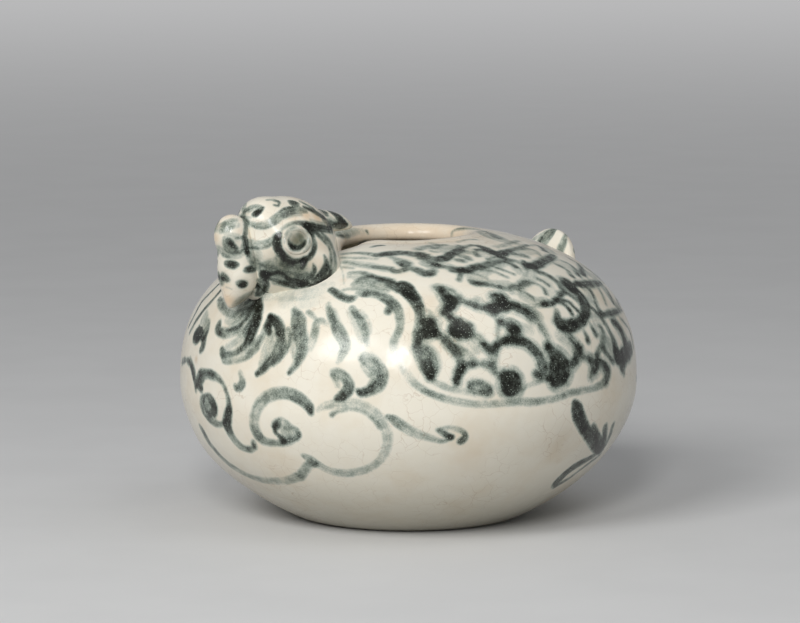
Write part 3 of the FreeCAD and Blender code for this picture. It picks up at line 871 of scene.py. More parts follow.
# Feathers in rows, from the neck over the shoulder to the rear
FEATHERS = [
    [(343, 254, 2, 0.35), (352, 253, 2, 0.42), (361, 253, 2.4, 0.46), (370, 254, 3, 0.55),
     (378, 255, 4, 0.68), (386, 254, 5, 0.78), (395, 253, 5, 0.76), (404, 253, 5, 0.7),
     (412, 254, 5, 0.72), (420, 254.5, 5, 0.84), (426, 255, 3, 0.7)],
    [(422, 258, 4), (430, 258, 4, 0.66), (438, 259, 5, 0.78), (445, 258, 6, 0.92), (450, 255, 5, 0.8),
     (456, 252, 5, 0.76), (461, 249, 4, 0.72), (459, 246, 3, 0.5)],
    [(342, 257.5, 1.5, 0.35), (352, 258, 2, 0.4), (362, 258, 1.6, 0.34), (376, 259, 1.5, 0.25)],
    [(345, 262, 2, 0.35), (355, 264, 2.4, 0.4), (365, 266, 3, 0.44), (376, 267, 3), (386, 268, 3),
     (392, 268, 2, 0.36)],
    [(343, 267, 1.5, 0.28), (353, 268, 1.6)],
    [(350, 273, 2, 0.44), (360, 272.5, 2.6, 0.5), (368, 274, 3), (376, 277, 3), (384, 279, 4, 0.55),
     (391, 281, 5, 0.62)],
    [(358, 280, 3), (363, 277.5, 3, 0.58), (370, 277, 2.5, 0.5), (379, 278, 3)],
    [(362, 282, 5, 0.46), (368, 283, 6, 0.36), (378, 285, 7, 0.3), (388, 288, 6)],
    [(343, 290, 2, 0.3), (352, 289, 2, 0.34), (360, 290, 2, 0.4), (368, 291.5, 2.5, 0.44),
     (377, 293.5, 3, 0.5)],
    [(390, 257, 2, 0.3), (396, 259, 3, 0.34), (402, 262, 6, 0.6), (405, 264, 7, 0.76)],
    [(392, 270, 3, 0.55), (397, 271.5, 4, 0.6), (403, 270, 4), (410, 268, 4, 0.56), (417, 270, 5, 0.66),
     (424, 273, 6, 0.82), (430, 273, 6), (434, 271, 4, 0.6)],
    [(425, 262, 3, 0.3), (432, 262, 4, 0.5), (435, 265, 5, 0.68), (439, 266, 4, 0.56), (445, 267, 3, 0.42),
     (453, 268, 3)],
    [(452, 270, 4, 0.7), (458, 270, 6, 0.92), (466, 270, 6, 0.94), (474, 268, 6, 0.84),
     (482, 266, 6, 0.74), (490, 264, 5, 0.66), (497, 262, 4, 0.6), (504, 259, 3, 0.5)],
    [(461, 271, 5, 0.72), (460, 276, 5, 0.62), (459, 280, 5)],
    [(470, 281, 3), (475, 283, 5, 0.76), (482, 284, 4, 0.66), (490, 285, 4), (498, 287, 4, 0.6)],
    [(420, 249, 3, 0.36), (428, 247, 2, 0.32), (436, 248, 2, 0.3)],
    [(431, 243, 2, 0.3), (438, 245, 2, 0.36), (445, 245, 2, 0.3)],
    [(432, 251, 2, 0.36), (437, 252, 2, 0.34)],
    [(461, 256, 3, 0.5), (466, 257, 3, 0.68), (469, 259, 3, 0.6)],
    [(458, 260, 3, 0.5), (463, 261, 3, 0.6)],
    [(475, 252, 2, 0.4), (478, 256, 3, 0.55)],
    [(462, 248, 2.5, 0.4), (470, 245.5, 2.5, 0.6), (478, 246, 3, 0.76), (485, 248, 4, 0.82),
     (490, 251, 5, 0.92), (495, 253, 6, 0.97), (500, 254, 6, 0.96), (505, 252, 4, 0.9), (512, 250, 3, 0.8),
     (520, 247.4, 2.4, 0.7), (527, 245, 1.8, 0.6)],
    [(477, 250, 3, 0.7), (484, 250, 3, 0.72)],
    [(500, 287, 3, 0.55), (506, 289, 4, 0.5), (512, 288, 5, 0.62), (519, 286, 6, 0.66), (526, 283, 6),
     (529, 281, 4, 0.5)],
    [(524, 262, 3, 0.8), (528, 265.6, 5, 0.94), (535, 265.6, 6, 0.95), (543, 261.6, 5.4, 0.9),
     (549, 258.4, 4.4, 0.8), (554, 255.4, 3, 0.66)],
    [(508, 260, 2.5, 0.5), (516, 261, 2.5), (523, 265, 3, 0.42), (527, 271, 3, 0.34), (525, 277, 4, 0.32),
     (520, 282, 4, 0.36)],
    [(536, 271, 3, 0.66), (545, 274, 3, 0.7), (552, 278, 3, 0.76), (558, 283, 3.4, 0.78),
     (562, 288, 4, 0.66)],
    [(555, 264, 2, 0.4), (562, 267, 2.2, 0.45), (568, 271, 2.2, 0.5), (572, 276, 3, 0.66)],
    [(562, 261, 2, 0.4), (569, 264, 2, 0.45), (575, 269, 2.2, 0.5), (578, 275, 3, 0.62)],
    [(570, 259, 1.4, 0.4), (577, 263, 1.6, 0.5), (581.4, 267.6, 2.2, 0.7), (582.6, 274, 4, 0.8)],
    [(563, 280, 4, 0.7), (567.4, 283.6, 8, 0.95), (572, 286.4, 7), (577, 282.4, 5, 0.85)],
    [(579, 284.4, 4.4, 0.85), (588, 284, 4.2, 0.84), (596, 283.4, 3.6, 0.78), (601, 282.6, 2, 0.6)],
    [(572, 290, 5, 0.9), (578, 293, 6, 0.86), (583, 299, 7), (585, 306, 8, 0.88), (585, 314, 9, 0.9),
     (581, 321, 11, 0.95), (574, 325, 13, 0.97), (566, 326, 12), (560, 323, 9, 0.95), (558, 317, 6, 0.8),
     (557, 311, 4, 0.6)],
    [(544, 304, 5, 0.78), (551, 303, 6, 0.84), (557, 301, 5, 0.8), (564, 304, 3), (569, 309, 3, 0.85),
     (572, 314, 3, 0.82)],
    [(562, 300, 2.5, 0.7), (569, 302, 2.5, 0.76), (574, 307, 2.5, 0.8), (578, 311, 2.5)],
    [(555, 300, 5), (560, 295, 5, 0.62), (566, 293, 3, 0.5), (572, 296, 3), (577, 300, 3)],
    [(520, 307, 4, 0.3), (530, 307, 4, 0.34), (540, 306, 4, 0.42), (546, 304, 5, 0.7)],
    [(588, 305, 2, 0.5), (594, 310, 2.6, 0.7), (600, 316, 3, 0.8), (603, 321, 3, 0.72)],
    [(596, 304, 2, 0.4), (599, 310, 3, 0.7), (603, 314.6, 4.4, 0.9), (610, 313, 5, 0.8),
     (617, 311.6, 4.4, 0.7), (622, 309.6, 3, 0.55)],
    [(590, 290, 2.4, 0.7), (593, 295, 2, 0.6), (596, 303, 2, 0.4)],
    [(599, 289, 1.8, 0.4), (603, 296, 1.8, 0.42), (606, 304, 1.8, 0.4)],
    [(606, 288, 1.8, 0.4), (610, 295, 1.8, 0.45), (613, 303, 1.8, 0.4)],
    [(612, 290, 2, 0.4), (616, 297, 2, 0.5), (619, 305, 3, 0.6)],
    [(613, 322, 3, 0.85), (618, 326, 4, 0.9), (622, 333, 4, 0.86), (625, 341, 5, 0.82),
     (627, 350, 6, 0.85)],
    [(620, 318, 1.8, 0.4), (627, 326, 2, 0.55), (631, 335, 2.4, 0.6), (633, 345, 3, 0.7)],
    [(605, 323, 3, 0.5), (609, 331, 3, 0.6), (614, 341, 4, 0.76), (617, 351, 5, 0.82)],
    [(615, 351, 5, 0.8), (618.6, 357.4, 8, 0.95), (625, 354, 10, 0.9), (631, 348, 6, 0.8)],
    [(622, 362, 8, 0.9), (623, 369, 4, 0.76), (624, 373, 2.4, 0.6)],
    [(600, 326, 2, 0.45), (604, 334, 3, 0.5), (603, 343, 4), (599, 351, 5, 0.66), (597, 355, 4, 0.75)],
    [(590, 323, 2, 0.5), (593, 329, 3, 0.75), (596, 335, 3, 0.85)],
    [(584, 331, 2, 0.4), (587, 337, 3, 0.6), (588, 341, 4, 0.8)],
    [(604, 350, 4, 0.55), (609, 357, 3, 0.66), (613, 362, 3, 0.7)],
    [(488, 259, 2, 0.4), (497, 257, 2, 0.5), (506, 258, 2)],
    [(492, 266, 1.6, 0.4), (500, 269, 1.8, 0.45), (508, 272, 1.6, 0.5), (513, 274, 1.6, 0.6)],
    [(484, 270, 1.6, 0.36), (494, 272, 1.8, 0.42), (502, 275, 1.8, 0.5), (507, 277, 1.6, 0.6)],
    [(505, 262, 1.6, 0.45), (511, 264, 1.8, 0.55), (516, 267, 2.4, 0.7)],
    [(470, 273, 1.8, 0.42), (478, 275, 1.8, 0.5), (486, 278, 2, 0.34)],
    [(528, 283, 1.8, 0.4), (536, 284, 1.8, 0.45), (543, 288, 1.8, 0.55), (546, 294, 2.4, 0.72)],
    [(538, 279, 1.8, 0.4), (544, 282, 2, 0.55), (548, 285, 2.4, 0.72)],
    [(518, 290, 1.8, 0.36), (526, 293, 1.8, 0.42), (533, 298, 2, 0.55)],
    [(497, 247, 1.8, 0.32), (508, 244, 2, 0.36), (518, 241, 2, 0.4)],
    [(520, 250, 1.4, 0.4), (528, 248.6, 1.2), (536, 251, 1.4), (540, 255, 2)],
    [(531, 245.4, 1.2, 0.4), (536, 245, 1.4, 0.45), (541, 247.4, 2, 0.66), (545, 251, 3, 0.75)],
    [(508, 254, 2, 0.36), (517, 254, 3, 0.4), (525, 256, 4)],
]

# Pale washes under the drawing, and a few washes of painted shade
WASHES = [
    [(412, 300, 9, 0.25), (424, 312, 10), (438, 322, 10, 0.22)],
    [(470, 340, 9, 0.2), (478, 350, 8)],
    [(478, 300, 8, 0.18), (500, 318, 9), (530, 330, 9, 0.16)],
    [(560, 335, 10, 0.2), (576, 350, 9), (590, 355, 8)],
    [(596, 320, 8, 0.22), (602, 335, 10, 0.28), (612, 350, 10, 0.3), (624, 362, 8, 0.35)],
    [(612, 318, 8, 0.24), (620, 330, 9, 0.3), (628, 345, 8, 0.35)],
    [(482, 232, 6, 0.26), (492, 236, 10, 0.32), (502, 240, 9, 0.28), (514, 243, 6, 0.2)],
    [(495, 247, 4, 0.14), (508, 245, 4, 0.12)],
    [(418, 249, 6, 0.2), (430, 247, 8, 0.24), (445, 247, 9, 0.22), (456, 249, 6, 0.2)],
    [(462, 250, 7, 0.14), (475, 252, 8, 0.16), (487, 255, 6, 0.14)],
    [(508, 256, 5, 0.12), (520, 254, 6, 0.14), (532, 251, 6, 0.16)],
    [(546, 248, 5, 0.2), (552, 252, 5)],
    [(470, 276, 8, 0.24), (484, 271, 10, 0.2), (496, 263, 11, 0.22), (506, 260, 7, 0.26)],
    [(478, 281, 7, 0.24), (494, 284, 8, 0.2), (508, 284, 7)],
    [(513, 264, 7, 0.16), (519, 272, 6, 0.14)],
    [(526, 270, 8, 0.2), (531, 279, 10, 0.16), (522, 288, 9), (512, 292, 7)],
    [(540, 276, 9, 0.1), (548, 285, 9), (553, 296, 7, 0.14)],
    [(524, 297, 8, 0.2), (536, 301, 8, 0.28), (546, 300, 6, 0.3)],
    [(510, 305, 8, 0.3), (526, 309, 9, 0.34), (538, 316, 9, 0.3)],
    [(556, 262, 8, 0.1), (566, 266, 9, 0.12), (575, 272, 9, 0.18)],
    [(570, 259, 4, 0.14), (578, 264, 5, 0.2), (585, 272, 6, 0.26)],
    [(560, 294, 7, 0.4), (568, 292, 7), (578, 297, 6)],
    [(586, 288, 8, 0.16), (593, 300, 8, 0.2)],
    [(604, 288, 8, 0.28), (611, 298, 8, 0.34), (617, 306, 7, 0.36)],
    [(592, 276, 8, 0.14), (602, 280, 6, 0.2)],
    [(426, 263, 7, 0.3), (434, 266, 7, 0.34)],
    [(438, 264, 5, 0.26), (450, 266, 5, 0.24)],
    [(432, 246, 6, 0.2), (446, 250, 8), (462, 252, 7)],
    [(345, 262, 5, 0.12), (370, 266, 7, 0.16), (392, 270, 6, 0.2)],
    [(352, 276, 6, 0.22), (372, 280, 7), (392, 285, 7, 0.26)],
    [(356, 284, 7, 0.26), (370, 288, 8, 0.24), (384, 292, 7, 0.2)],
    [(350, 312, 8, 0.14), (358, 326, 9, 0.18), (362, 340, 8, 0.14)],
    [(332, 312, 9, 0.2), (340, 330, 9, 0.18)],
    [(228, 318, 9, 0.2), (240, 330, 11, 0.22), (250, 342, 9, 0.2)],
    # These two washes below the head's jaw are painted shade, where the head shades the breast
    [(264, 294, 12, 0.14), (280, 292, 14, 0.13), (298, 293, 15), (314, 291, 13, 0.11),
     (328, 286, 9, 0.08)],
    [(284, 302, 12, 0.08), (302, 303, 12, 0.07), (318, 300, 10, 0.06)],
    [(336, 232, 8, 0.4), (343, 231, 8), (351, 231, 7, 0.3), (362, 231, 6, 0.2)],
    # This wash along the crescent under the beak's tip is painted shadow cast by the beak
    [(222, 300, 6, 0.25), (234, 308, 9, 0.3), (248, 304, 9), (262, 298, 6, 0.2)],
]

# Marks on the lip, and fine lines on the near side only
LIP_STROKES = [
    [(452, 235.5, 2, 0.4), (453, 231.5, 2.2, 0.5), (458, 229, 2.4), (466, 228.6, 2.2), (474, 229, 2, 0.4)],
    [(474, 229, 2, 0.3), (484, 231, 3, 0.4), (492, 234, 4), (498, 238, 5)],
    [(458, 242, 2, 0.3), (468, 239.6, 2, 0.4), (476, 239.6, 2, 0.35)],
    [(366.6, 231, 2, 0.7), (367.6, 233, 1.8, 0.6)],
    [(337, 228.5, 2), (342, 228.4, 2, 0.7), (347, 228, 1.6, 0.6)],
    [(337, 235.4, 1.6, 0.5), (344, 235.4, 1.8, 0.6), (350, 235, 1.4, 0.4)],
    [(372, 247, 1.8, 0.5), (376, 246, 2.6, 0.8), (381, 245.4, 2), (384, 245.6, 1.4, 0.5)],
    [(358, 243, 1.6), (362, 242.2, 2, 0.75), (367, 241.4, 1.8, 0.6)],
    [(182, 362, 3, 0.75), (187, 360, 3, 0.78), (191, 366, 3, 0.75), (193, 374, 3, 0.7),
     (196, 386, 2.4, 0.6)],
    # The dark line just under the beak's tip is painted shadow of the beak
    [(246, 303, 3, 0.7), (251, 299.6, 4, 0.9), (257, 297.4, 3.4)],
    [(340, 265, 0.8, 0.3), (343, 274, 0.8), (344, 284, 0.8, 0.24)],
]

# Strokes on the head

HEAD_STROKES = [
    # forehead: the dot in its loop and the small curls
    [(241, 216, 2), (244, 212, 3, 0.5), (248, 209, 3.4), (253, 206.5, 3.6), (258, 206, 3.4, 0.52),
     (263, 207.4, 2.6, 0.45)],
    [(249, 211, 3, 0.24), (254, 209, 3), (260, 207.5, 2.4)],
    [(253.5, 214.6, 4, 0.88), (256, 213.6, 6.4, 0.95), (259.4, 210.8, 5.4, 0.93), (262, 208.6, 3, 0.75)],
    [(267.4, 200, 1.6, 0.42), (273.8, 199.6, 1.8, 0.5)],
    [(275, 201, 2, 0.55), (277.8, 201.2, 2.2, 0.66), (279.2, 203.2, 2.2), (277.8, 205.6, 2.2),
     (274.6, 205.2, 2, 0.5)],
    [(291.5, 202, 4, 0.75), (294, 203, 5.4, 0.85), (297, 203.4, 3, 0.7)],
    # broad band over the brow
    [(243, 217, 2), (247, 220.6, 2.6, 0.5), (251.4, 223.4, 4, 0.42), (257, 225.2, 5.4, 0.4),
     (262.6, 225, 6.4), (269.8, 222.8, 8, 0.42), (276.2, 219, 9, 0.46), (281.4, 215, 9, 0.52),
     (287, 212, 8.4, 0.56), (293, 210.2, 7.4, 0.58), (299.4, 209.8, 6.4, 0.56), (305, 211, 4, 0.45)],
    [(252, 226, 2, 0.5), (258, 228, 2.2, 0.52), (265, 228, 2.4), (272, 225.6, 2.4, 0.42),
     (280, 220.6, 2.2, 0.34)],
    [(280, 211.5, 2, 0.45), (285, 208.6, 2.4, 0.6), (292, 207, 2.2), (299, 206.4, 2, 0.5)],
    [(284, 217, 5, 0.24), (293, 215, 4), (301, 215, 3, 0.2)],
    # crown line and crest
    [(301, 201.8, 2), (307, 205, 2.4, 0.7), (313, 208.4, 2.4)],
    [(304.2, 207, 2.4, 0.75), (309.8, 209.4, 3.2, 0.85), (315.4, 212.2, 4, 0.88), (320.2, 215, 4),
     (324.4, 217.6, 3, 0.8)],
    [(319.4, 209.6, 2.4, 0.75), (324.2, 211.6, 3, 0.82), (326.4, 215, 2.6, 0.7)],
    [(329, 210.6, 3, 0.8), (333.4, 212.6, 5, 0.88), (338, 216, 6, 0.92), (341.4, 220, 6, 0.93),
     (345, 224.4, 5)],
    [(324, 220.6, 3, 0.5), (329, 223.4, 5, 0.62), (335, 225.4, 6, 0.75), (342, 226.4, 5, 0.85),
     (347, 225.4, 3, 0.9)],
    [(328, 216, 3, 0.3), (333, 219.6, 4, 0.42), (338, 223, 4, 0.6)],
    # brow
    [(280.2, 232.6, 3, 0.5), (282.6, 228.8, 3.4, 0.52), (287.4, 225.6, 3.6, 0.56), (293, 223.4, 3.6, 0.66),
     (297.8, 222.6, 4, 0.84), (303.4, 223.4, 5.6, 0.92), (308.4, 226, 8.4, 0.96), (313, 226.6, 7.6, 0.95),
     (318.6, 228, 7), (325, 229, 6, 0.9), (331, 229.6, 5, 0.8)],
    [(311, 220.6, 3, 0.2), (319, 223, 3, 0.3), (327, 224.6, 3, 0.4)],
    [(306, 226.4, 5, 0.9), (309, 230.6, 6, 0.94), (311.8, 234.6, 5, 0.9), (313.6, 239.6, 4.4, 0.78),
     (314.6, 244.6, 5, 0.84), (314, 249.6, 5, 0.88), (312, 253.8, 5.4, 0.92), (309, 257.4, 5.8, 0.94),
     (305.4, 259.6, 6)],
    # band from the beak to the eye
    [(248, 241.6, 3.4, 0.5), (252, 243.4, 6, 0.44), (257, 244.4, 7, 0.42), (262, 244.4, 7),
     (267, 243, 6.6, 0.44), (271.4, 240.4, 6, 0.48), (274.8, 236.6, 5, 0.55), (278.4, 233, 4, 0.6)],
    [(248, 247.4, 2.2), (254, 248.2, 2.2, 0.58), (261, 248.4, 2.2), (268, 246.6, 2.4),
     (273, 242.6, 3, 0.6)],
    # dark round the eye
    [(280.4, 233.6, 3, 0.85), (278, 237.4, 7.4, 0.95), (277, 241.6, 9.6, 0.97), (277.4, 246.4, 9.6),
     (279.4, 251.4, 8.6), (283.2, 256, 8.2, 0.96), (288.2, 259.8, 7.4, 0.94), (293.2, 261.4, 6.2, 0.9),
     (297.6, 261.2, 5.6, 0.88), (302, 260.4, 5.6, 0.93)],
    [(305, 259, 6, 0.94), (304, 263, 7), (302.4, 267, 5, 0.88)],
    # olive shading of the cheek and jaw
    [(266, 265, 9, 0.18), (276, 264, 12, 0.2), (287, 267, 14), (299, 269, 13, 0.24), (307, 272, 9)],
    [(283, 261, 5, 0.45), (288, 263.6, 5, 0.5), (294, 264.6, 5, 0.45), (299, 266.6, 5, 0.4)],
    [(262, 267, 6, 0.3), (270, 270, 8, 0.4), (278, 273, 8), (288, 275, 8, 0.36), (298, 277, 8),
     (307, 276.6, 8, 0.44), (312, 277.6, 6, 0.5)],
    [(311, 287, 6, 0.3), (304, 287.6, 6, 0.36), (294, 286.4, 6), (284, 284, 6), (275, 282, 6, 0.34)],
    [(264, 276, 11, 0.84), (269, 276, 9, 0.74), (274, 277, 7, 0.5), (280, 279, 6), (287, 282, 6, 0.6)],
    [(277, 258, 5, 0.26), (283, 262, 8, 0.28), (291, 265, 8, 0.24), (298, 266.4, 7)],
    [(261, 264.6, 5, 0.2), (268, 264.4, 6), (275, 265.6, 8), (283, 268, 8), (291, 270.4, 9, 0.22),
     (299, 273, 9, 0.28), (306, 274.4, 6, 0.3)],
    [(262.4, 273, 5, 0.92), (264.6, 275.6, 9, 0.95), (267.4, 275.4, 6, 0.92), (273, 273.2, 4.4, 0.9),
     (279.4, 272.8, 4.2, 0.86), (284.2, 275.2, 4.8, 0.84), (288.4, 278.4, 5), (293, 281.2, 6, 0.88),
     (297.4, 283, 7.4, 0.94), (302, 283.6, 7.6), (307, 282.8, 5.4, 0.9)],
    [(271, 279, 3, 0.5), (277, 281, 4, 0.52), (283, 283.4, 4, 0.56), (289, 285.4, 3.4, 0.6),
     (296, 287.4, 3)],
    [(296, 277.4, 4, 0.5), (303, 278, 4, 0.6)],
    [(309.6, 286, 4, 0.75), (314, 285.4, 5, 0.8), (319, 283.6, 5.6), (324, 280.8, 5, 0.78),
     (328.4, 276.6, 4, 0.7), (331, 271, 3, 0.6)],
    # leaves and lines behind the eye
    [(313.2, 264.4, 2), (314.2, 268.4, 4.6, 0.82), (313.4, 272.4, 5), (310, 276.4, 4.6, 0.66),
     (305.4, 279, 4, 0.55)],
    [(324.4, 255.8, 2, 0.75), (326.2, 261, 4.2, 0.88), (326.2, 266, 5.8), (324, 271.6, 7.4),
     (320.4, 276.6, 8), (315.6, 281, 6.4, 0.86), (311, 284, 3.4, 0.7)],
    [(312.6, 229.8, 3, 0.85), (316.6, 233.6, 3.6, 0.84), (321.4, 237.8, 3.8, 0.8), (325.4, 242, 3, 0.66),
     (328.8, 247, 2.4, 0.6), (330.6, 252.6, 2.4, 0.55), (331.2, 259, 3), (330.8, 264.6, 3.6, 0.6),
     (329, 270.6, 3.6, 0.66)],
    [(322, 233, 3, 0.7), (327, 238.6, 3, 0.62), (331, 244.6, 3, 0.55), (334, 252, 3, 0.5),
     (335.4, 260, 3, 0.45), (334.8, 268, 3.6, 0.5), (331.4, 274, 5, 0.62), (326.4, 278.6, 5, 0.7)],
    # eye ring and its sunk middle
    [(286, 234, 2.4, 0.24), (289, 229.6, 2.6, 0.3), (295, 227, 2.4, 0.24)],
    [(284.6, 238, 1.6, 0.35), (284.4, 243, 1.6, 0.4)],
    [(309, 238, 2, 0.3), (310, 243, 2), (308, 249, 2, 0.24)],
    [(288.8, 240.4, 2.6, 0.8), (289.8, 244.4, 4.8, 0.96), (292.8, 247.4, 6.8, 0.97), (297, 248.2, 7),
     (301, 247, 5.6, 0.95), (304.2, 244, 3.6, 0.85), (305.2, 240.6, 2, 0.55)],
    [(292, 241.4, 3, 0.24), (296, 242.6, 4, 0.34), (300.4, 241.6, 4, 0.3)],
    [(294.6, 237, 5, 0.1), (298.6, 235.6, 6, 0.2), (302, 239, 5, 0.22)],
    [(285.4, 240, 3, 0.14), (287.4, 233.4, 3.6, 0.18), (294, 229, 3.6, 0.16), (302, 230.6, 3.4, 0.14),
     (307.6, 237, 3.4, 0.18), (308.4, 244.6, 3.4, 0.2), (304.6, 251, 3)],
    [(289, 238, 2, 0.35), (291, 234.4, 2, 0.3)],
    # knob above the beak
    [(220, 228, 9, 0.2), (228, 225, 10, 0.22), (236, 224, 8, 0.18)],
    [(228, 236, 8, 0.16), (238, 238, 8, 0.14)],
    [(237, 215, 1.6, 0.3), (241, 216.6, 2.2, 0.4), (244.4, 220.4, 3, 0.5), (246, 225.4, 3.6, 0.56),
     (246, 231, 4, 0.6), (245, 236, 4.2, 0.62), (245.4, 241, 6, 0.78), (246, 246, 6, 0.8),
     (247, 251, 5.4, 0.7), (248.6, 255, 4, 0.5)],
    [(221, 231, 5, 0.26), (222.6, 225.6, 5.4, 0.34), (227, 222.2, 5.4, 0.4), (232, 220.4, 4.6, 0.38),
     (237, 219.6, 3, 0.3)],
    [(224, 232, 4, 0.2), (229, 229, 5, 0.3), (233, 225.6, 3.6)],
    [(236, 238.2, 2, 0.45), (240, 238, 2.2, 0.5), (243.6, 236.6, 2.4, 0.6)],
    [(228, 240, 4.4, 0.93), (230, 242.4, 6.4, 0.97), (232.8, 245.6, 6), (236.4, 248.6, 4.6, 0.93)],
    [(224, 238, 3, 0.5), (225, 244, 5), (229, 250, 6), (235, 252.6, 5, 0.52), (241, 251.4, 4, 0.5),
     (242, 246, 2.6)],
    # beak: wash at its root, spots, olive edge
    [(220, 250, 6, 0.24), (228, 254, 8, 0.28), (238, 255, 7, 0.26), (244, 252, 6)],
    [(249, 250, 8, 0.2), (254, 256, 11), (260, 264, 11, 0.16), (268, 268, 8, 0.14)],
    [(223, 255, 4, 0.42), (229, 257, 3, 0.3)],
    [(247, 252, 5, 0.48), (250, 257, 7, 0.36), (254, 263, 7, 0.32), (258.4, 268.6, 4.6, 0.34)],
    [(226.6, 263.6, 6, 0.66), (230, 264.2, 8, 0.9), (233.6, 265, 8, 0.94), (236.6, 265, 5, 0.85)],
    [(245, 270.4, 3.6, 0.8), (248, 269.4, 6.6, 0.92), (251.6, 269.2, 6.4), (254.8, 270, 3.6, 0.8)],
    [(222.6, 275.6, 5), (225.4, 278.6, 6.6, 0.62), (228.4, 280, 4, 0.5)],
    [(219.4, 278, 2.6, 0.7), (220.6, 283, 2.4, 0.55)],
    [(238.4, 283, 5, 0.7), (241.4, 284, 8, 0.93), (244.4, 284.4, 6.6, 0.9)],
    [(233.6, 305, 3, 0.16), (237, 301.8, 4, 0.2), (242, 298.4, 4.4, 0.24), (248.2, 295.4, 4, 0.26),
     (254, 292, 3, 0.3)],
    [(226, 287, 1.4, 0.2), (232, 289, 1.4)],
    # lower beak
    [(258, 284, 3, 0.8), (258, 290, 3.4, 0.82), (256.6, 295, 3.4, 0.85)],
    [(267, 280, 3, 0.75), (267.6, 285, 4, 0.72), (265, 290.4, 5, 0.75), (260, 294.6, 4, 0.82)],
    [(260, 281, 4, 0.7), (263, 284, 6, 0.66), (262, 289, 7), (258, 293, 5, 0.7)],
    [(266, 281, 4)],
]


# Near face of the tail
TAIL_STROKES = [
    [(533, 240, 3, 0.3), (538, 236.5, 3), (544, 232.5, 3), (550, 229.6, 2)],
    [(553, 229.6, 5), (550, 233, 8), (546, 238, 9), (543, 243, 8, 0.62), (542, 248, 5, 0.7)],
    [(541, 238, 3, 0.5), (538, 243, 4), (537, 248, 4)],
    [(566.5, 233.5, 3, 0.5), (564.5, 238, 5), (562, 244, 6.4), (560, 250, 7, 0.52), (558, 256, 6, 0.5)],
    [(566.6, 240, 1.6, 0.5), (564.6, 247, 1.8), (562, 254, 1.8)],
    [(571, 238, 1.4, 0.4), (573.6, 245, 1.4, 0.5), (574.4, 252, 1.4)],
    [(547, 249, 4, 0.7), (553, 251.5, 4, 0.75), (560, 254.5, 3, 0.6)],
]

# Tints of the glaze: spots of (x, y, reach, peach, olive) in the photograph's pixels

BODY_TINTS = [
    (345, 238, 9, 0.8, 0), (356, 239, 8, 0.6, 0), (368, 240, 8, 0.5, 0), (342, 246, 6, 0.7, 0),
    (344, 268, 5, 0.35, 0), (343, 280, 4, 0.4, 0), (401, 271, 7, 0.4, 0), (196, 360, 4, 0.8, 0.1),
    # The spot low on the belly's right, at 560, 440, is partly painted shade
    (450, 241, 8, 0.25, 0), (520, 238, 7, 0.3, 0), (430, 300, 6, 0.2, 0), (560, 440, 18, 0.2, 0.1),
    (470, 460, 22, 0.18, 0), (245, 420, 14, 0.2, 0), (255, 320, 8, 0, 0.2),
]
HEAD_TINTS = [
    (297, 240.6, 10.5, 0, 1.0), (300, 237, 8, 0, 1.0), (295, 239, 7, 0, 0.9), (302, 243, 7, 0, 1.0),
    (284, 266, 18, 0, 0.85), (299, 269, 15, 0, 0.8), (291, 274, 14, 0, 0.75), (271, 266, 13, 0, 0.65),
    (311, 276, 10, 0, 0.6), (324, 272, 9, 0, 0.5), (330, 262, 6, 0, 0.4),
    (257, 262, 10, 0, 0.5), (276, 280, 9, 0, 0.4), (216, 238, 6, 0.8, 0), (219, 225, 6, 0.6, 0),
    (229, 216, 6, 0.5, 0), (239, 231, 4, 0.35, 0), (228, 300, 8, 0.9, 0), (226, 289, 8, 0.6, 0),
    (317, 217, 8, 1.0, 0), (326, 222, 7, 0.9, 0), (306, 215, 8, 0.9, 0), (295, 217, 7, 0.6, 0),
    (322, 246, 8, 0.45, 0), (320, 262, 8, 0.45, 0), (312, 262, 7, 0.4, 0), (268, 252, 6, 0.25, 0),
    (240, 302, 8, 0.2, 0.6), (251, 294, 7, 0, 0.6), (230, 249, 11, 0, 0.5), (330, 250, 6, 0.3, 0.15),
    (322, 212, 7, 0.1, 0.35), (290, 234, 5, 0, 0.15), (246, 212, 7, 0, 0.4), (224, 277, 7, 0.1, 0.5),
    (243, 284, 6, 0, 0.5), (231, 264, 6, 0, 0.45), (251, 269, 6, 0, 0.45), (232, 246, 6, 0, 0.5),
    (291, 211, 8, 0, 0.2), (262, 225, 8, 0, 0.15), (226, 226, 7, 0, 0.2),
]
TAIL_TINTS = [(570, 240, 6, 0.3, 0), (548, 234, 6, 0.2, 0.1)]


# Strokes behind the photograph's horizon, laid by turn in degrees, share of the way from mouth to
# foot, width and tone

REAR = 180
# Rows of scales: their share of the way, step in degrees and drop
SCALE_ROWS = [(0.09, 13, 0.045), (0.16, 12, 0.055), (0.24, 11, 0.06), (0.32, 10, 0.065), (0.41, 9.5, 0.065)]
# Lines below the scales, on both sides: degrees from the rear, share of the way, width and tone
REAR_LINES = [
    [(50, 0.555, 1.2, 0.5), (36, 0.545, 1.3, 0.55), (22, 0.525, 1.4, 0.6), (8, 0.50, 1.3, 0.6),
     (0, 0.49, 1.2, 0.5)],
    [(16, 0.60, 1.0, 0.7), (12, 0.66, 1.8, 0.85), (5, 0.72, 1.6, 0.8), (0, 0.75, 0.8, 0.6)],
    [(7, 0.60, 0.8, 0.6), (5, 0.66, 1.4, 0.75), (0, 0.74, 0.8, 0.6)],
]
# Lines on the rear face of the tail: place across it, lowest and highest point
TAIL_BACK_LINES = [(-5.6, 54.5, 58.0), (-2.9, 53.5, 60.2), (0.1, 53.2, 60.8), (3.0, 53.5, 60.0),
                   (5.4, 54.5, 57.6)]
BEHIND = -80.0


def left_bare(turn, down):
    """Where the tail stands, and past the ends of the rows."""
    aside = abs(turn - REAR)
    return aside < 11 and 0.12 < down < 0.30 or aside > (31 if down < 0.2 else 39)


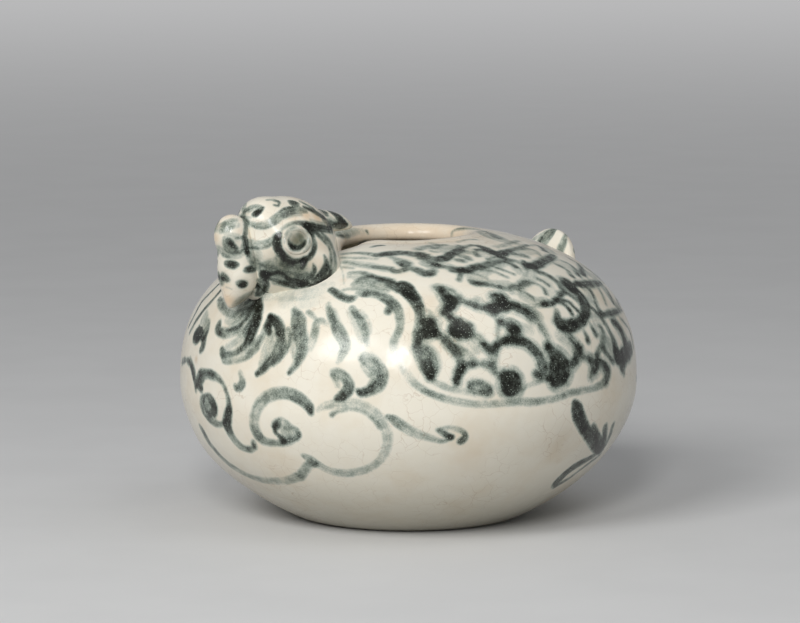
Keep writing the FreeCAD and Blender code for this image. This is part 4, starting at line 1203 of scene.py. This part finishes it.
def scale_strokes(turn, down, slip, half, drop, thick):
    """One scale: its edge, a wash inside it and three fine lines."""
    def touch(across, deep, width, tone):
        return (turn + half * across, down + drop * deep + slip, width, tone)

    edge = [touch(-1, 0, thick * 0.8, 0.75), touch(-0.75, 0.7, thick, 0.8), touch(0, 1, thick * 1.25, 0.9),
            touch(0.75, 0.7, thick, 0.75), touch(1, 0, thick * 0.7, 0.6)]
    wash = [touch(-1, 0, 2.6, 0.28), touch(0, 1, 3.4, 0.34), touch(1, 0, 2.4, 0.28)]
    lines = [[(turn + half * across, down - 0.004 + slip, 0.35, 0.4),
              (turn + half * across * 1.1, down + drop * 0.55 + slip, 0.45, 0.5)]
             for across in (-0.4, 0.0, 0.4)]
    return [edge, wash] + lines


def far_strokes():
    """Feathers that run over the rear to the tail, and the wings' edge lines below them."""
    strokes = []
    for number, (down, step, drop) in enumerate(SCALE_ROWS):
        first = REAR - 3.5 * step + step / 2 * (number % 2)
        for k, turn in enumerate(np.arange(first, REAR + 1 + 3.5 * step, step)):
            if left_bare(turn, down):
                continue
            slip = 0.006 * math.sin(2.1 * k + number)
            thick = 1.3 + 0.35 * math.sin(1.7 * k + 2.3 * number)
            strokes += scale_strokes(turn, down, slip, step * 0.52, drop, thick)
    for sign in (-1, 1):
        strokes += [[(REAR + sign * aside, down, width, tone) for aside, down, width, tone in line]
                    for line in REAR_LINES]
    return strokes


def tail_back_strokes(surface):
    """Upright feather lines on the rear face of the flap, laid on it from behind."""
    strokes = []
    for y, low, high in TAIL_BACK_LINES:
        line = []
        for share in (0.0, 0.3, 0.6, 0.85, 1.0):
            start = Vector((BEHIND, y * (0.86 + 0.14 * share), low + share * (high - low)))
            hit = surface.ray_cast(start, Vector((1, 0, 0)))[0]
            if hit is not None:
                half_width = 0.35 + 0.5 * math.sin(math.pi * (0.15 + 0.7 * share))
                line.append((*hit, half_width, 0.62))
        if len(line) > 1:
            strokes.append(np.array(line))
    return strokes


# Materials

IVORY = (0.865, 0.815, 0.690, 1)
WARM_IVORY = (0.810, 0.725, 0.575, 1)
MILKY_IVORY = (0.900, 0.865, 0.765, 1)
PEACH = (0.760, 0.590, 0.410, 1)
OLIVE = (0.092, 0.090, 0.034, 1)
CRACK = (0.420, 0.270, 0.150, 1)

# How much light comes back through the ink at each density
INK_STEPS = [(0.00, (1.0, 1.0, 1.0)), (0.15, (0.73, 0.78, 0.79)), (0.30, (0.54, 0.61, 0.62)),
             (0.45, (0.37, 0.445, 0.445)), (0.60, (0.225, 0.28, 0.28)), (0.75, (0.12, 0.15, 0.15)),
             (0.90, (0.036, 0.043, 0.039)), (1.00, (0.013, 0.015, 0.013))]


class Nodes:
    """Short helpers to write a material's nodes."""

    def __init__(self, name):
        self.material = bpy.data.materials.new(name)
        self.material.use_nodes = True
        self.tree = self.material.node_tree
        self.shader = self.tree.nodes["Principled BSDF"]

    def add(self, kind, **settings):
        node = self.tree.nodes.new(kind)
        for key, value in settings.items():
            setattr(node, key, value)
        return node

    def join(self, source, target):
        self.tree.links.new(source, target)

    def feed(self, value, socket):
        """Join an output to the socket, or set the socket to a constant."""
        if isinstance(value, bpy.types.NodeSocket):
            self.join(value, socket)
        else:
            socket.default_value = value

    def attribute(self, name, output):
        return self.add("ShaderNodeAttribute", attribute_name=name).outputs[output]

    def math(self, operation, first, second, clamp=False):
        node = self.add("ShaderNodeMath", operation=operation, use_clamp=clamp)
        self.feed(first, node.inputs[0])
        self.feed(second, node.inputs[1])
        return node.outputs[0]

    def times(self, first, second, clamp=False):
        return self.math("MULTIPLY", first, second, clamp)

    def plus(self, first, second, clamp=False):
        return self.math("ADD", first, second, clamp)

    def minus(self, first, second):
        return self.math("SUBTRACT", first, second)

    def noise(self, where, scale, detail=2.0, rough=0.5, output="Fac"):
        node = self.add("ShaderNodeTexNoise")
        node.inputs["Scale"].default_value = scale
        node.inputs["Detail"].default_value = detail
        node.inputs["Roughness"].default_value = rough
        self.join(where, node.inputs["Vector"])
        return node.outputs[output]

    def cells(self, where, scale, feature="F1"):
        """Distance from the middle of a random cell, or from its edge."""
        node = self.add("ShaderNodeTexVoronoi", feature=feature)
        node.inputs["Scale"].default_value = scale
        self.join(where, node.inputs["Vector"])
        return node.outputs["Distance"]

    def vector(self, operation, first, second):
        """A vector sum, product or, for a plain number, scaled vector."""
        node = self.add("ShaderNodeVectorMath", operation=operation)
        self.join(first, node.inputs[0])
        self.feed(second, node.inputs["Scale"] if operation == "SCALE" else node.inputs[1])
        return node.outputs[0]

    def mix(self, share, first, second, kind="MIX"):
        node = self.add("ShaderNodeMix", data_type="RGBA", blend_type=kind)
        self.feed(share, node.inputs["Factor"])
        self.feed(first, node.inputs[6])
        self.feed(second, node.inputs[7])
        return node.outputs[2]

    def spread(self, value, low, high, to_low=0.0, to_high=1.0):
        node = self.add("ShaderNodeMapRange", interpolation_type="SMOOTHSTEP")
        self.join(value, node.inputs["Value"])
        node.inputs["From Min"].default_value = low
        node.inputs["From Max"].default_value = high
        node.inputs["To Min"].default_value = to_low
        node.inputs["To Max"].default_value = to_high
        return node.outputs["Result"]


def glaze_colour(n, where):
    """Ivory with clouds, the peach and olive of the tints, and fine crazing."""
    tints = n.add("ShaderNodeSeparateXYZ")
    n.join(n.attribute("glaze_tint", "Vector"), tints.inputs[0])
    cloud = n.noise(where, scale=70, detail=3.0, rough=0.55)
    drift = n.noise(where, scale=260, detail=3.0, rough=0.6)
    patch = n.noise(where, scale=150, detail=4.0, rough=0.6)
    glaze = n.mix(n.spread(cloud, 0.42, 0.75), IVORY, WARM_IVORY)
    glaze = n.mix(n.spread(drift, 0.35, 0.80, to_high=0.35), glaze, MILKY_IVORY)
    thin_in_patches = n.spread(patch, 0.25, 0.60, to_low=0.45)
    glaze = n.mix(n.times(tints.outputs[0], thin_in_patches, clamp=True), glaze, PEACH)
    full_in_patches = n.spread(patch, 0.20, 0.65, to_low=1.0, to_high=0.85)
    glaze = n.mix(n.times(tints.outputs[1], full_in_patches, clamp=True), glaze, OLIVE)

    swirl = n.vector("SCALE", n.noise(where, scale=330, output="Color"), 0.0028)
    crack = n.cells(n.vector("ADD", where, swirl), scale=300, feature="DISTANCE_TO_EDGE")
    line = n.spread(crack, 0.004, 0.022, to_low=1.0, to_high=0.0)
    worn = n.spread(n.noise(where, scale=55, detail=3.0, rough=0.6), 0.38, 0.66)
    return n.mix(n.times(n.times(line, worn), 0.38), glaze, CRACK)


def ink_density(n, where):
    """The brushed ink with its grain, bristle marks, blots and the glaze's small pale specks: bubbles in
    the glaze, and painted glints of light.
    """
    ink = n.attribute("ink", "Fac")
    way = n.vector("MULTIPLY", n.attribute("brush_way", "Vector"), (2.4, 0.12, 1.0))
    grain = n.spread(n.noise(where, scale=2900, rough=0.7), 0.34, 0.66, to_low=-1.0)
    bristle = n.spread(n.noise(way, scale=1.0, rough=0.6), 0.30, 0.70, to_low=-1.0)
    blot = n.spread(n.noise(where, scale=500), 0.32, 0.68, to_low=-1.0)
    shade = n.plus(n.plus(n.times(grain, 0.10), n.times(bristle, 0.06)), n.times(blot, 0.13))
    middle = n.times(ink, n.minus(1.12, ink))
    density = n.plus(ink, n.times(shade, n.times(middle, 3.2)), clamp=True)
    # Pale specks lighten the ink: partly bubbles in the glaze, partly painted glints
    chosen = n.spread(n.noise(where, scale=950, detail=1.0), 0.44, 0.56)
    bubble_and_glint = n.times(n.spread(n.cells(where, scale=1900), 0.10, 0.32, to_low=1.0, to_high=0.0), chosen)
    return n.times(density, n.minus(1.0, n.times(bubble_and_glint, 0.48)))


def painted_glaze(name):
    """Ivory glaze with fine crazing over the brushed ink."""
    n = Nodes(name)
    where = n.add("ShaderNodeTexCoord").outputs["Object"]
    pass_light = n.add("ShaderNodeValToRGB")
    steps = pass_light.color_ramp
    while len(steps.elements) < len(INK_STEPS):
        steps.elements.new(0.5)
    for element, (position, colour) in zip(steps.elements, INK_STEPS):
        element.position = position
        element.color = colour + (1,)
    n.join(ink_density(n, where), pass_light.inputs["Fac"])
    colour = n.mix(1.0, glaze_colour(n, where), pass_light.outputs["Color"], kind="MULTIPLY")
    n.join(colour, n.shader.inputs["Base Color"])

    rough = n.spread(n.noise(where, scale=420, detail=3.0, rough=0.6), 0.3, 0.7, to_low=0.15, to_high=0.25)
    n.join(rough, n.shader.inputs["Roughness"])
    n.shader.inputs["IOR"].default_value = 1.5
    n.shader.inputs["Specular IOR Level"].default_value = 0.34
    peel = n.noise(where, scale=520)
    pit = n.spread(n.cells(where, scale=900), 0.0, 0.16)
    relief = n.add("ShaderNodeBump")
    relief.inputs["Strength"].default_value = 0.35
    relief.inputs["Distance"].default_value = 0.00012
    n.join(n.plus(n.times(peel, 0.9), n.times(pit, 0.10)), relief.inputs["Height"])
    n.join(relief.outputs["Normal"], n.shader.inputs["Normal"])
    return n.material


# Light and floor

SKY_COLOUR, SKY_STRENGTH = (0.96, 0.975, 1.0, 1), 0.26
FLOOR_SIZE = 14
FLOOR_LOW, FLOOR_HIGH = (0.69, 0.69, 0.685, 1), (0.71, 0.71, 0.705, 1)
FLOOR_BOUNCE = (0.49, 0.49, 0.485, 1)
HAZE_COLOUR, HAZE_NEAR, HAZE_FAR = (0.50, 0.50, 0.505, 1), 0.15, 2.2


def area_light(name, turn, rise, distance, width, height, power):
    """A softbox that looks at the jar from a bearing relative to the camera's."""
    data = bpy.data.lights.new(name, "AREA")
    data.shape = "RECTANGLE"
    data.size = width
    data.size_y = height
    data.energy = power
    lamp = bpy.data.objects.new(name, data)
    bpy.context.scene.collection.objects.link(lamp)
    bearing = CAMERA_TURN + math.radians(turn)
    up = math.radians(rise)
    way = Vector((math.cos(up) * math.cos(bearing), math.cos(up) * math.sin(bearing), math.sin(up)))
    lamp.location = Vector(AIM * MM) + way * distance
    lamp.rotation_euler = way.to_track_quat("Z", "Y").to_euler()


def make_floor():
    """A pale floor that fades into the haze; light that it throws back is a little weaker."""
    bpy.ops.mesh.primitive_grid_add(x_subdivisions=8, y_subdivisions=8, size=FLOOR_SIZE)
    floor = bpy.context.active_object
    floor.name = "floor"
    n = Nodes("pale_floor")
    where = n.add("ShaderNodeTexCoord").outputs["Object"]
    pale = n.mix(n.spread(n.noise(where, scale=30, detail=3.0), 0.3, 0.7), FLOOR_LOW, FLOOR_HIGH)
    rays = n.add("ShaderNodeLightPath").outputs
    seen = n.math("MAXIMUM", rays["Is Glossy Ray"], rays["Is Transmission Ray"])
    seen = n.math("MAXIMUM", rays["Is Camera Ray"], seen)
    n.join(n.mix(seen, FLOOR_BOUNCE, pale), n.shader.inputs["Base Color"])
    n.shader.inputs["Roughness"].default_value = 0.75
    n.shader.inputs["Specular IOR Level"].default_value = 0.2
    away = n.add("ShaderNodeVectorMath", operation="LENGTH")
    n.join(where, away.inputs[0])
    far = n.times(n.spread(away.outputs["Value"], HAZE_NEAR, HAZE_FAR), seen)
    haze = n.add("ShaderNodeEmission")
    haze.inputs["Color"].default_value = HAZE_COLOUR
    blend = n.add("ShaderNodeMixShader")
    for source, target in zip((far, n.shader.outputs[0], haze.outputs[0]), blend.inputs):
        n.join(source, target)
    n.join(blend.outputs[0], n.tree.nodes["Material Output"].inputs["Surface"])
    floor.data.materials.append(n.material)


def make_studio():
    scene = bpy.context.scene
    scene.world = bpy.data.worlds.new("studio")
    scene.world.use_nodes = True
    back = scene.world.node_tree.nodes["Background"]
    back.inputs["Color"].default_value = SKY_COLOUR
    back.inputs["Strength"].default_value = SKY_STRENGTH
    area_light("key_softbox", turn=-35, rise=34, distance=1.1, width=0.44, height=0.44, power=5.6)
    area_light("front_softbox", turn=-5, rise=28, distance=1.2, width=0.17, height=0.40, power=4.3)
    area_light("top_softbox", turn=60, rise=60, distance=1.1, width=0.6, height=0.5, power=1.0)
    scene.view_settings.view_transform = "Standard"
    make_floor()


# Making the jar

# How soft the edges of the strokes are on each form, in millimetres
BODY_SOFTNESS, HEAD_SOFTNESS, TAIL_SOFTNESS = 0.42, 0.32, 0.24
# Strokes that lie past this bearing, in degrees, are repeated on the bird's right
MIRROR_BEARING = 43
# The first strokes of the wing's table, which are lines and have no wash
RIM_LINES = 3
# Where the glaze thins and pools on the thrown wall: radius of the mouth's edge and its width,
# the neck's foot, its radius and width, and the height over which olive gathers at the foot,
# which is pooled glaze and also painted shade on the low belly
MOUTH_EDGE, MOUTH_EDGE_WIDTH = 17.5, 3.2
NECK_EDGE_X, NECK_EDGE_RADIUS, NECK_EDGE_WIDTH = 36.5, 10.5, 2.2
POOL_AND_SHADE_TOP, POOL_AND_SHADE_LOW = 17, 1


def tint_wall(piece):
    """Peach round the mouth, olive at the neck and toward the foot, and the tints of the table."""
    x, y, z = places_of(piece).T
    peach, olive = tint_spots(body_surface, places_of(piece), BODY_TINTS)
    near_mouth = bump(np.hypot(x, y), MOUTH_EDGE, MOUTH_EDGE_WIDTH) * ramp(z, 50, 60)
    near_neck = bump(np.hypot(x - NECK_EDGE_X, y) - NECK_EDGE_RADIUS, 0, NECK_EDGE_WIDTH) * ramp(z, 46, 54)
    # Olive toward the foot: glaze that pools there, and painted shade of the low belly
    olive = np.maximum(np.maximum(olive, 0.34 * ramp(z, POOL_AND_SHADE_TOP, POOL_AND_SHADE_LOW)), 0.16 * near_neck)
    tint(piece, np.maximum(peach, 0.45 * near_mouth), olive)


def tint_lip():
    """Peach where the glaze thins over the roll, most toward the inside of the mouth."""
    x, y, z = places_of(lip).T
    peach, olive = tint_spots(body_surface, places_of(lip), BODY_TINTS)
    tint(lip, np.maximum(peach, 0.30 + 0.35 * ramp(np.hypot(x, y), 15.5, 13.2)), olive)


make_camera()
wall = [make_wall_part(*part) for part in WALL_PARTS]
lip = make_lip()
head = make_head()
beak = make_beak()
lower_beak = make_lower_beak()
eye_rings = [make_eye_ring(1), make_eye_ring(-1)]
tail = make_tail()

body_surface = surface_of([wall[0], wall[1], wall[2], lip])
head_pieces = [head, beak, lower_beak] + eye_rings
head_surface = surface_of(head_pieces)
tail_surface = surface_of([tail])

wet_washes = laid_on(body_surface, WING_EDGE[RIM_LINES:], widen=(1.3, 4.0, 0.36))
wet_washes += laid_on(body_surface, FEATHERS, widen=(1.2, 1.8, 0.20))
wet_washes += laid_on(body_surface, WASHES)
wet_washes += mirror_those_beyond(wet_washes, MIRROR_BEARING)
drawn = laid_on(body_surface, THROAT + SCROLLS, widen=(1.08, 0.5, 1.0))
drawn += laid_on(body_surface, WING_EDGE, widen=(1.04, 0.3, 0.97))
drawn += laid_on(body_surface, FEATHERS, widen=(1.0, 0.3, 0.95))
drawn += mirror_those_beyond(drawn, MIRROR_BEARING)
drawn += laid_on(body_surface, LIP_STROKES)
drawn += [lay_round(touches) for touches in far_strokes()]
paint(wall + [lip], wet_washes + drawn, BODY_SOFTNESS, len(wet_washes))

head_laid = laid_on(head_surface, HEAD_STROKES)
head_laid += [mirrored_in_head(laid) for laid in head_laid]
paint(head_pieces, head_laid, HEAD_SOFTNESS)
paint([tail], laid_on(tail_surface, TAIL_STROKES) + tail_back_strokes(tail_surface), TAIL_SOFTNESS)

for piece in wall:
    tint_wall(piece)
tint_lip()
for piece in head_pieces:
    tint(piece, *tint_spots(head_surface, places_of(piece), HEAD_TINTS))
tint(tail, *tint_spots(tail_surface, places_of(tail), TAIL_TINTS))

glaze = painted_glaze("painted_glaze")
for piece in wall:
    shade_as_one(piece)
for piece in wall + [lip, tail] + head_pieces:
    piece.data.materials.clear()
    piece.data.materials.append(glaze)
    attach(piece, "root")

for piece in wall:
    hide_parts("vessel_body")
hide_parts("mouth_lip")
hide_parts("head", "neck", "crest")
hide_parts("beak_upper", "cere")
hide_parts("beak_lower")
for ring, node in zip(eye_rings, ("eye_ring_left", "eye_ring_right")):
    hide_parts(node)
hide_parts("tail")

make_studio()
